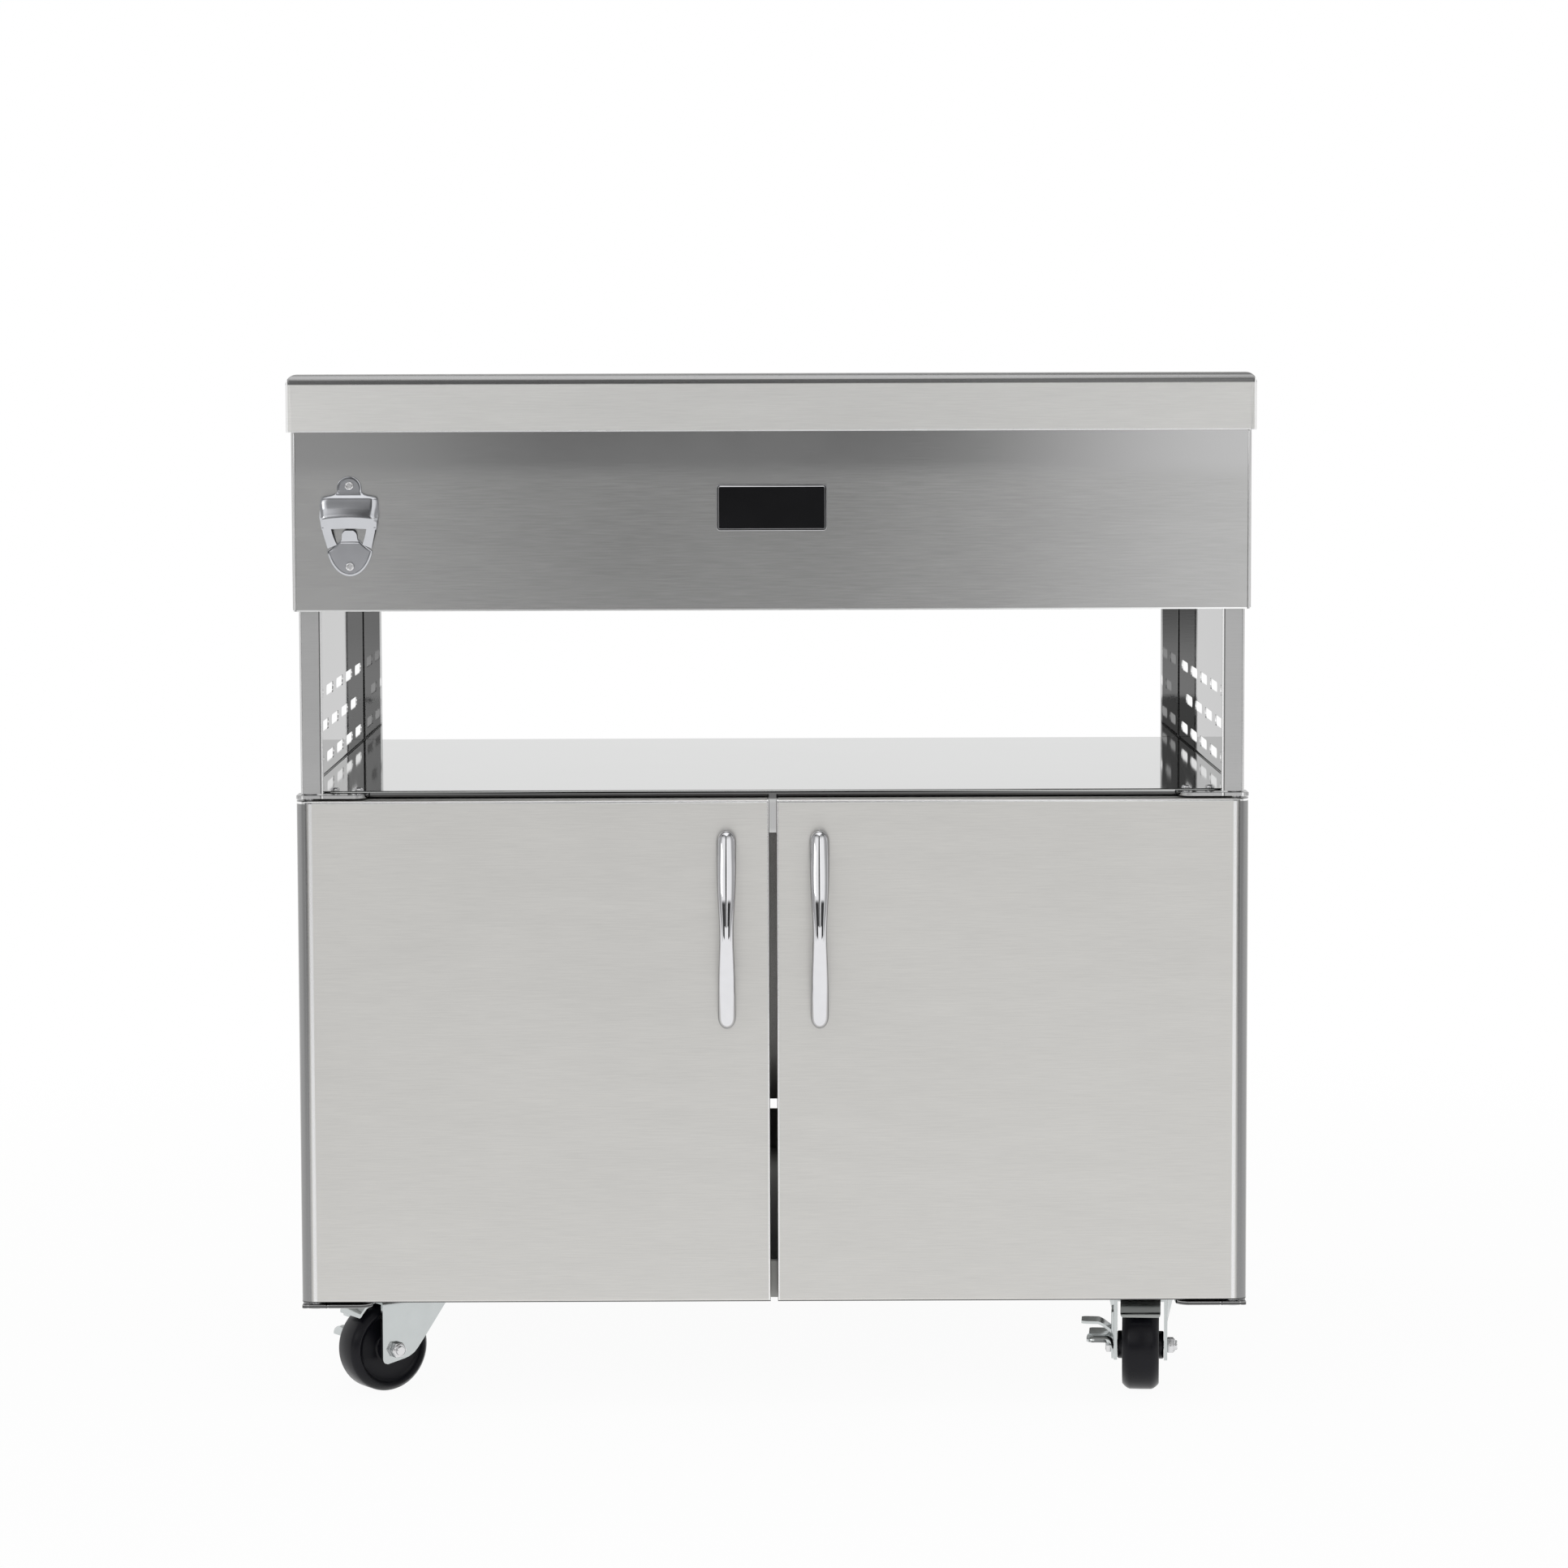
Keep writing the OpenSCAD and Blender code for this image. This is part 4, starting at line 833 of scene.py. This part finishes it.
print("handles", 2 * HANDLE_HALF, "mm long")

# %% [markdown]
# ## Cross-head screws
#
# A pan-head screw is a low dome with a cross sunk into its top. The dome is lofted from rings, and a
# bridge joins its last ring to the outline of the cross, which is then pushed down to make the recess.
# Two such screws hold the bottle opener. The others hold the hinge plates: their heads lie on the shelf
# over the upper plates, and under the lower plates.

# %% Screws
CROSS_HALF = 0.24
CROSS_REACH = 0.62
CROSS_RISE = 0.95
RECESS_DEPTH = 0.6
PLATE_SCREW_GAP = 21.0
PLATE_HEAD = 2.4
DOME = [(1.0, 0.0), (1.0, 0.35), (0.94, 0.6), (0.8, 0.82), (0.7, 0.9)]
OPENER_HEAD = 2.0
OPENER_HEAD_RADIUS = 4.0


def pan_head(form, radius, height, shift, twist):
    """A closed pan head that stands along z before shift moves it, its cross turned by twist degrees."""
    known = set(form.verts)
    rings = []
    for size, rise in DOME:
        place = Matrix.Translation((0, 0, rise * height))
        made = bmesh.ops.create_circle(form, cap_ends=False, segments=24, radius=size * radius, matrix=place)
        rings.append({edge for vert in made["verts"] for edge in vert.link_edges})
    half, reach = CROSS_HALF * radius, CROSS_REACH * radius
    arm = [(reach, -half), (reach, half), (half, half)]
    quarter_turns = [(1, 0), (0, 1), (-1, 0), (0, -1)]
    corners = [(cos * x - sin * y, sin * x + cos * y) for cos, sin in quarter_turns for x, y in arm]
    cross = [form.verts.new((x, y, CROSS_RISE * height)) for x, y in corners]
    rings.append({form.edges.new(pair) for pair in zip(cross, cross[1:] + cross[:1])})
    for outer, inner in zip(rings, rings[1:]):
        bmesh.ops.bridge_loops(form, edges=list(outer | inner))
    walls = bmesh.ops.extrude_edge_only(form, edges=list(rings[-1]))["geom"]
    deep = [item for item in walls if isinstance(item, bmesh.types.BMVert)]
    bmesh.ops.translate(form, vec=(0, 0, -RECESS_DEPTH * height), verts=deep)
    recess = [item for item in walls if isinstance(item, bmesh.types.BMEdge)]
    for outline in (recess, list(rings[0])):
        bmesh.ops.contextual_create(form, geom=outline)
    fresh = [vert for vert in form.verts if vert not in known]
    matrix = shift @ Matrix.Rotation(math.radians(twist), 4, "Z")
    bmesh.ops.transform(form, matrix=matrix, verts=fresh)


OUT_OF_DOOR = Matrix.Rotation(math.pi / 2, 4, "X")
UPSIDE_DOWN = Matrix.Rotation(math.pi, 4, "X")

low, high = (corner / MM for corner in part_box("opener_screws"))
form = bmesh.new()
for z, twist in ((low.z + OPENER_HEAD_RADIUS, 20.0), (high.z - OPENER_HEAD_RADIUS, 55.0)):
    spot = Matrix.Translation(((low.x + high.x) / 2.0, low.y + OPENER_HEAD, z))
    pan_head(form, OPENER_HEAD_RADIUS, OPENER_HEAD, spot @ OUT_OF_DOOR, twist)
keep(form, "opener_screws", BRIGHT_SCREW)

low, high = (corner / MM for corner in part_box("hinge_plate_screws"))
form = bmesh.new()
head_radius = (high.y - low.y) / 2.0
for sign in (-1.0, 1.0):
    for back, twist in ((0.0, 15.0), (PLATE_SCREW_GAP, 40.0)):
        x = sign * (high.x - head_radius - back)
        y = low.y + head_radius
        top = Matrix.Translation((x, y, high.z - PLATE_HEAD))
        bottom = Matrix.Translation((x, y, low.z + PLATE_HEAD)) @ UPSIDE_DOWN
        pan_head(form, head_radius, PLATE_HEAD, top, twist)
        pan_head(form, head_radius, PLATE_HEAD, bottom, twist)
keep(form, "hinge_plate_screws", BRIGHT_SCREW)
print("screws with cross heads placed")

# %% [markdown]
# ## Bottle opener
#
# The opener is stamped from sheet: a round tab and a shield that hold the screws, a hood with a hanging
# lip that goes over the cap, and a tongue that grips its edge. Two legs lean back from the lip to the
# shield and carry the pull. The stamping leaves a raised rim round the flat parts. An inset of each face
# gives that rim.

# %% Opener
OPENER_WALL = 1.8
TAB_HALF_WIDTH = 10.85
SHIELD_HALF = 21.0
POINT_HEIGHT = 32.0
OPENER_HEIGHT = 87.5
TONGUE_LOW = 27.0
TONGUE_LENGTH = 13.2
TONGUE_HALF = 7.3
TONGUE_TAPER = 1.2
TONGUE_OUT = 1.0
TONGUE_LEAN = 6.0
FOOT_FLARE = 5.0
FOOT_SPAN = 0.45
TIP_NARROWS = 2.6
TIP_SPAN = 0.28
SHIELD_SIDE = 25.0
SHIELD_TOP = [(11.5, 28.5), (8.5, 31.5), (-8.5, 31.5), (-11.5, 28.5)]
TAB_FOOT = [(-TAB_HALF_WIDTH, 70.0), (TAB_HALF_WIDTH, 70.0)]
LEG_WALL = 1.6
SMALLEST_FACE = 50.0


def rimmed(form, points, rim, sink):
    """A plate whose face is sunk inside a raised rim."""
    fresh = slab(form, points, OPENER_WALL, bevel=0.5)
    large = [face for face in form.faces if face.verts[0] in fresh and face.calc_area() > SMALLEST_FACE]
    front = min(large, key=lambda face: face.calc_center_median().y)
    bmesh.ops.inset_region(form, faces=[front], thickness=rim, depth=0.0, use_even_offset=True)
    bmesh.ops.inset_region(form, faces=[front], thickness=0.5, depth=-sink, use_even_offset=True)


HOOD_PATH = [
    (1.8, 72.5), (2.4, 71.0), (3.6, 69.2), (5.0, 67.6), (6.0, 65.4), (6.8, 62.0), (7.8, 58.5), (9.3, 55.0),
    (10.7, 51.9), (11.2, 51.0), (11.3, 50.2), (10.8, 48.2), (8.8, 41.6),
]
LEG_PATH = [(9.2, 43.0), (8.2, 38.5), (4.8, 32.0), (2.9, 28.0), (1.9, 25.0)]
LEG_SLANT = 3.4
LEG_HALF = 3.9
LEG_OUTSIDE = 19.6
LEG_TAPER = 4.1
HOOD_BOW = 2.0
BOW_MIDDLE = 0.75
BOW_SPAN = 0.5
HOOD_SIDE = 0.12
HOOD_TURN = 0.22
HOOD_WIDTHS = [
    (10.9, 0.0), (11.4, 0.05), (14.5, 0.10), (21.0, 0.145), (23.6, 0.19), (24.2, 0.25), (24.2, 0.7),
    (23.6, 0.75), (22.6, 1.0),
]


def hood_point(u, v):
    """The hood, from the foot of the tab to the lower edge of its lip."""
    side = 2.0 * u - 1.0
    out, z = along(HOOD_PATH, v)
    half = crossing(HOOD_WIDTHS, v)
    bow = HOOD_BOW * (1.0 - side * side) * max(1.0 - abs(v - BOW_MIDDLE) / BOW_SPAN, 0.0)
    turned = into_end(abs(side), HOOD_SIDE)
    return Vector((side * half, -out * (1.0 - HOOD_TURN * turned * turned), z + bow))


def leg(sign):
    """A shape function for one of the two legs that lean back from the lip to the shield."""
    def point(u, v):
        """The point for u across the leg and v down it. The foot slants up towards the tongue."""
        out, z = along(LEG_PATH, v)
        side = 2.0 * u - 1.0
        slant = LEG_SLANT * (1.0 - sign * side) / 2.0 * v * v
        return Vector((sign * (LEG_OUTSIDE - LEG_TAPER * v) + side * LEG_HALF, -out, z + slant))
    return point


def tongue_point(u, v):
    """The tongue, which leans out from the plate on flared feet and has a round tip."""
    foot = FOOT_FLARE * max(1.0 - v / FOOT_SPAN, 0.0) ** 2
    tip = TIP_NARROWS * into_end(v, TIP_SPAN) ** 2
    half = TONGUE_HALF - TONGUE_TAPER * v + foot - tip
    out = TONGUE_OUT + TONGUE_LEAN * v**1.5
    return Vector(((2.0 * u - 1.0) * half, -out, TONGUE_LOW + TONGUE_LENGTH * v))


form = bmesh.new()
half_turn = [math.radians(angle) for angle in range(-90, 91, 6)]
shield = [(SHIELD_HALF * math.sin(a), POINT_HEIGHT * (1.0 - math.cos(a))) for a in half_turn]
shield = [(x, z) for x, z in shield if z < SHIELD_SIDE]
rimmed(form, shield + SHIELD_TOP, rim=1.3, sink=0.5)
tab_arc = [math.radians(angle) for angle in range(0, 181, 10)]
tab_top = OPENER_HEIGHT - TAB_HALF_WIDTH
round_tab = [(TAB_HALF_WIDTH * math.cos(a), tab_top + TAB_HALF_WIDTH * math.sin(a)) for a in tab_arc]
rimmed(form, round_tab + TAB_FOOT, rim=1.1, sink=0.5)
for sign in (-1.0, 1.0):
    sheet_grid(form, leg(sign), LEG_WALL, columns=6, rows=14)
sheet_grid(form, hood_point, OPENER_WALL, columns=24, rows=26)
sheet_grid(form, tongue_point, LEG_WALL, columns=10, rows=10)
low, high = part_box("bottle_opener")
place = Matrix.Translation(((low.x + high.x) / (2 * MM), high.y / MM, low.z / MM))
keep(form, "bottle_opener", OPENER_STEEL, sharp=40.0, shift=place)
print("opener", OPENER_HEIGHT, "mm high")

# %% [markdown]
# ## Dressing the pieces of the frame
#
# The frame's meshes are loose triangles. Weld joins them, a planar Decimate clears the flat faces, and a
# small Bevel gives each cut edge of the sheet its rounding, which draws the thin bright lines that make
# sheet metal look real. A second Weld closes the slivers that a bevel leaves where two folds meet, and
# weighted normals keep the large faces flat beside those narrow bevels.

# %% Modifiers for the frame's pieces
WELD_GAP = 0.00001
SLIVER = 0.000002
FLAT_ANGLE = math.radians(0.5)
ROUNDED_ANGLE = math.radians(32.0)


def dress(node, material, edge):
    """Gives a node of the frame its finish, and edges rounded to a size in metres."""
    piece = frame["nodes"][node]
    piece.data.materials.clear()
    piece.data.materials.append(material)
    for polygon in piece.data.polygons:
        polygon.use_smooth = True
    weld = piece.modifiers.new("join", "WELD")
    weld.merge_threshold = WELD_GAP
    flatten = piece.modifiers.new("flatten", "DECIMATE")
    flatten.decimate_type = "DISSOLVE"
    flatten.angle_limit = FLAT_ANGLE
    bevel = piece.modifiers.new("round_edges", "BEVEL")
    bevel.width = edge
    bevel.segments = 2
    bevel.limit_method = "ANGLE"
    bevel.angle_limit = ROUNDED_ANGLE
    bevel.harden_normals = False
    clean = piece.modifiers.new("close_slivers", "WELD")
    clean.merge_threshold = SLIVER
    weigh = piece.modifiers.new("flat_faces", "WEIGHTED_NORMAL")
    weigh.weight = 90
    weigh.keep_sharp = False


# Every node gets a finish, also the ones that a shaped piece stands for
SHEET_EDGE = 0.0004
FINISHES = {
    "top_panel": STEELS["band"],
    "shelf": STEELS["mirror"],
    "base_pan": STEELS["under"],
    "left_upper_panel": STEELS["post"],
    "right_upper_panel": STEELS["post"],
    "shelf_channels": STEELS["plain"],
    "back_panel": STEELS["inner"],
    "front_castor_rail": STEELS["plain"],
    "rear_castor_rail": STEELS["plain"],
    "bottle_opener": OPENER_STEEL,
    "badge_rim": CHROME,
    "badge_plate": BADGE_BLACK,
    "door_catches": CATCH_GREY,
}
for side in ("front", "back", "left", "right"):
    FINISHES[side + "_fascia"] = STEELS["fascia"]
for side in ("left", "right"):
    FINISHES[side + "_door"] = STEELS["door"]
    FINISHES[side + "_side_panel"] = STEELS["side"]
    FINISHES[side + "_door_liner"] = STEELS["plain"]
    FINISHES[side + "_striker"] = STEELS["plain"]
    FINISHES[side + "_door_bushes"] = BUSH_WHITE
    FINISHES[side + "_handle"] = CHROME
    FINISHES["upper_" + side + "_hinge_plate"] = STEELS["post"]
    FINISHES["lower_" + side + "_hinge_plate"] = STEELS["post"]
for node in frame["nodes"]:
    if node.endswith("_wheel"):
        FINISHES[node] = WHEEL_BLACK
    elif node.endswith(("_fork", "_mount", "_brake", "_axle")):
        FINISHES[node] = ZINC
    elif node not in FINISHES:
        FINISHES[node] = BRIGHT_SCREW
for node, material in FINISHES.items():
    dress(node, material, SHEET_EDGE)
print("dressed", len(FINISHES), "nodes")

# %% [markdown]
# ## The studio
#
# Steel shows its surroundings more than itself, so the studio matters. Behind the cart all is white. On
# the camera's side stands a far wall that is nearly dark, with a bright window below it. The chrome
# handles draw their dark streaks and their pale rectangles from these two. Near the camera, two screens
# leave a narrow gap, and the level brushed sheets take their soft gradients from it.
#
# Each pair below says where a soft change begins and where it ends. Places to the side and heights are
# measured on a plane one metre in front of the cart. Only the ceiling and the front half are measured on
# the direction itself, by how far it points up or forward.

# %% World
GAP_SIDE = (0.15, 0.22)
GAP_TOP = (1.2, 2.2)
LEFT_SCREEN = (-0.078, -0.056)
RIGHT_SCREEN = (0.030, 0.100)
SLIT_LEFT = (-0.045, -0.005)
SLIT_RIGHT = (0.000, 0.018)
HORIZON = (-0.060, -0.035)
ROOM_SIDE = (0.7, 1.6)
ROOM_FOOT = (-0.5, -0.1)
WINDOW_SIDE = (0.36, 0.42)
WINDOW_FOOT = (-0.22, -0.19)
WALL_SIDE = (0.85, 1.05)
WALL_TOP = (0.22, 0.28)
CEILING = (0.70, 0.86)
FRONT_HALF = (0.0, 0.08)
LEAST_AHEAD = 0.02
LEFT_LIGHT = 0.36
RIGHT_LIGHT = 1.25
SLIT_LIGHT = 0.06
BACK_LIGHT = 0.97
DIFFUSE_LIGHT = 0.78
SIDE_SHADE = 0.6
WALL_SHADE = 0.95
CEILING_SHADE = 0.65

world = bpy.data.worlds.new("studio")
bpy.context.scene.world = world
sky = Tree(world)
look_x, look_y, look_z = sky.parts(sky.node("ShaderNodeTexCoord", output="Generated"))
ahead = look_y * -1.0
level = ahead.larger(LEAST_AHEAD)
aside = look_x / level
aside_size = aside.size()
rise = look_z / level
forward = ahead.soft_step(*FRONT_HALF)

# The gap between the two screens beside the camera, as seen by the level sheets
left_screen = 1.0 - aside.soft_step(*LEFT_SCREEN)
right_screen = aside.soft_step(*RIGHT_SCREEN)
slit = aside.soft_step(*SLIT_LEFT) * (1.0 - aside.soft_step(*SLIT_RIGHT))
gap = LEFT_LIGHT * left_screen + RIGHT_LIGHT * right_screen + SLIT_LIGHT * slit
above_horizon = rise.soft_step(*HORIZON)
in_gap = (1.0 - aside_size.soft_step(*GAP_SIDE)) * above_horizon * (1.0 - rise.soft_step(*GAP_TOP))

# The dim sides of the room, its far wall round the window, and its dark ceiling
sides = 1.0 - SIDE_SHADE * aside_size.soft_step(*ROOM_SIDE) * rise.soft_step(*ROOM_FOOT)
window_frame = (1.0 - above_horizon) * aside_size.soft_step(*WINDOW_SIDE) * rise.soft_step(*WINDOW_FOOT)
wall_width = 1.0 - aside_size.soft_step(*WALL_SIDE)
far_wall = wall_width * (above_horizon + window_frame) * (1.0 - rise.soft_step(*WALL_TOP))
ceiling = look_z.soft_step(*CEILING)
room = sides * (1.0 - WALL_SHADE * far_wall) * (1.0 - in_gap) + gap * in_gap
reflected = (room * forward + BACK_LIGHT * (1.0 - forward)) * (1.0 - CEILING_SHADE * ceiling)

camera_ray, glossy_ray, clear_ray = sky.light_path()
seen = camera_ray.larger(clear_ray)
strength = seen + (1.0 - seen) * (glossy_ray * reflected + (1.0 - glossy_ray) * DIFFUSE_LIGHT)
background = sky.node("ShaderNodeBackground", None, {"Color": (1.0, 1.0, 1.0, 1.0), "Strength": strength})
sky.node("ShaderNodeOutputWorld", None, {"Surface": background})
print("world ready")

# %% [markdown]
# ## The floor
#
# The photograph shows plain white under the cart. The floor here is a large pale disc, like paper, that
# takes a soft shadow. For the camera and in reflections it also glows, a little more towards its rim, so
# that it fades into the white behind it.

# %% Floor
FLOOR_RADIUS = 2.4
PAPER_WHITE = 0.85
NEAR_GLOW = 0.95
FADE = (0.9, 2.2)
floor_form = bmesh.new()
bmesh.ops.create_circle(floor_form, cap_ends=True, segments=96, radius=FLOOR_RADIUS)
floor_mesh = bpy.data.meshes.new("floor")
floor_form.to_mesh(floor_mesh)
floor_form.free()
floor = bpy.data.objects.new("floor", floor_mesh)
bpy.context.scene.collection.objects.link(floor)

floor_finish, tree = new_finish("floor_white")
x, y = tree.place()[:2]
radius = x.math("SQRT", x * x + y * y)
far = radius.soft_step(*FADE)
camera_ray, glossy_ray = tree.light_path()[:2]
seen = camera_ray.larger(glossy_ray)
paper = tree.node("ShaderNodeBsdfDiffuse", None, {"Color": (PAPER_WHITE, PAPER_WHITE, PAPER_WHITE, 1.0)})
glow = tree.node("ShaderNodeEmission", None, {"Color": (1.0, 1.0, 1.0, 1.0), "Strength": 1.0})
share = seen * (NEAR_GLOW + (1.0 - NEAR_GLOW) * far)
tree.surface(tree.node("ShaderNodeMixShader", None, {0: share, 1: paper, 2: glow}))
floor.data.materials.append(floor_finish)
print("floor of", FLOOR_RADIUS, "m radius")

# %% [markdown]
# ## Lamps
#
# Nearly all light comes from the white room. Two large soft lamps add a faint direction: one hangs over
# the cart, one stands like a window at the left of the camera. They draw the soft shadow under the base.

# %% Lamps
def lamp(name, place, aim, size, power):
    """A soft oblong light at place that shines towards aim."""
    data = bpy.data.lights.new(name, "AREA")
    data.shape = "RECTANGLE"
    data.size, data.size_y = size
    data.energy = power
    made = bpy.data.objects.new(name, data)
    made.location = place
    made.rotation_euler = (Vector(aim) - Vector(place)).to_track_quat("-Z", "Y").to_euler()
    bpy.context.scene.collection.objects.link(made)


lamp("overhead", place=(-0.3, -0.4, 3.2), aim=(0.0, 0.0, 0.5), size=(2.4, 1.8), power=12.0)
lamp("left_window", place=(-2.6, -3.0, 2.2), aim=(0.0, 0.0, 0.6), size=(1.2, 1.6), power=10.0)
print("lamps:", len(bpy.data.lights))
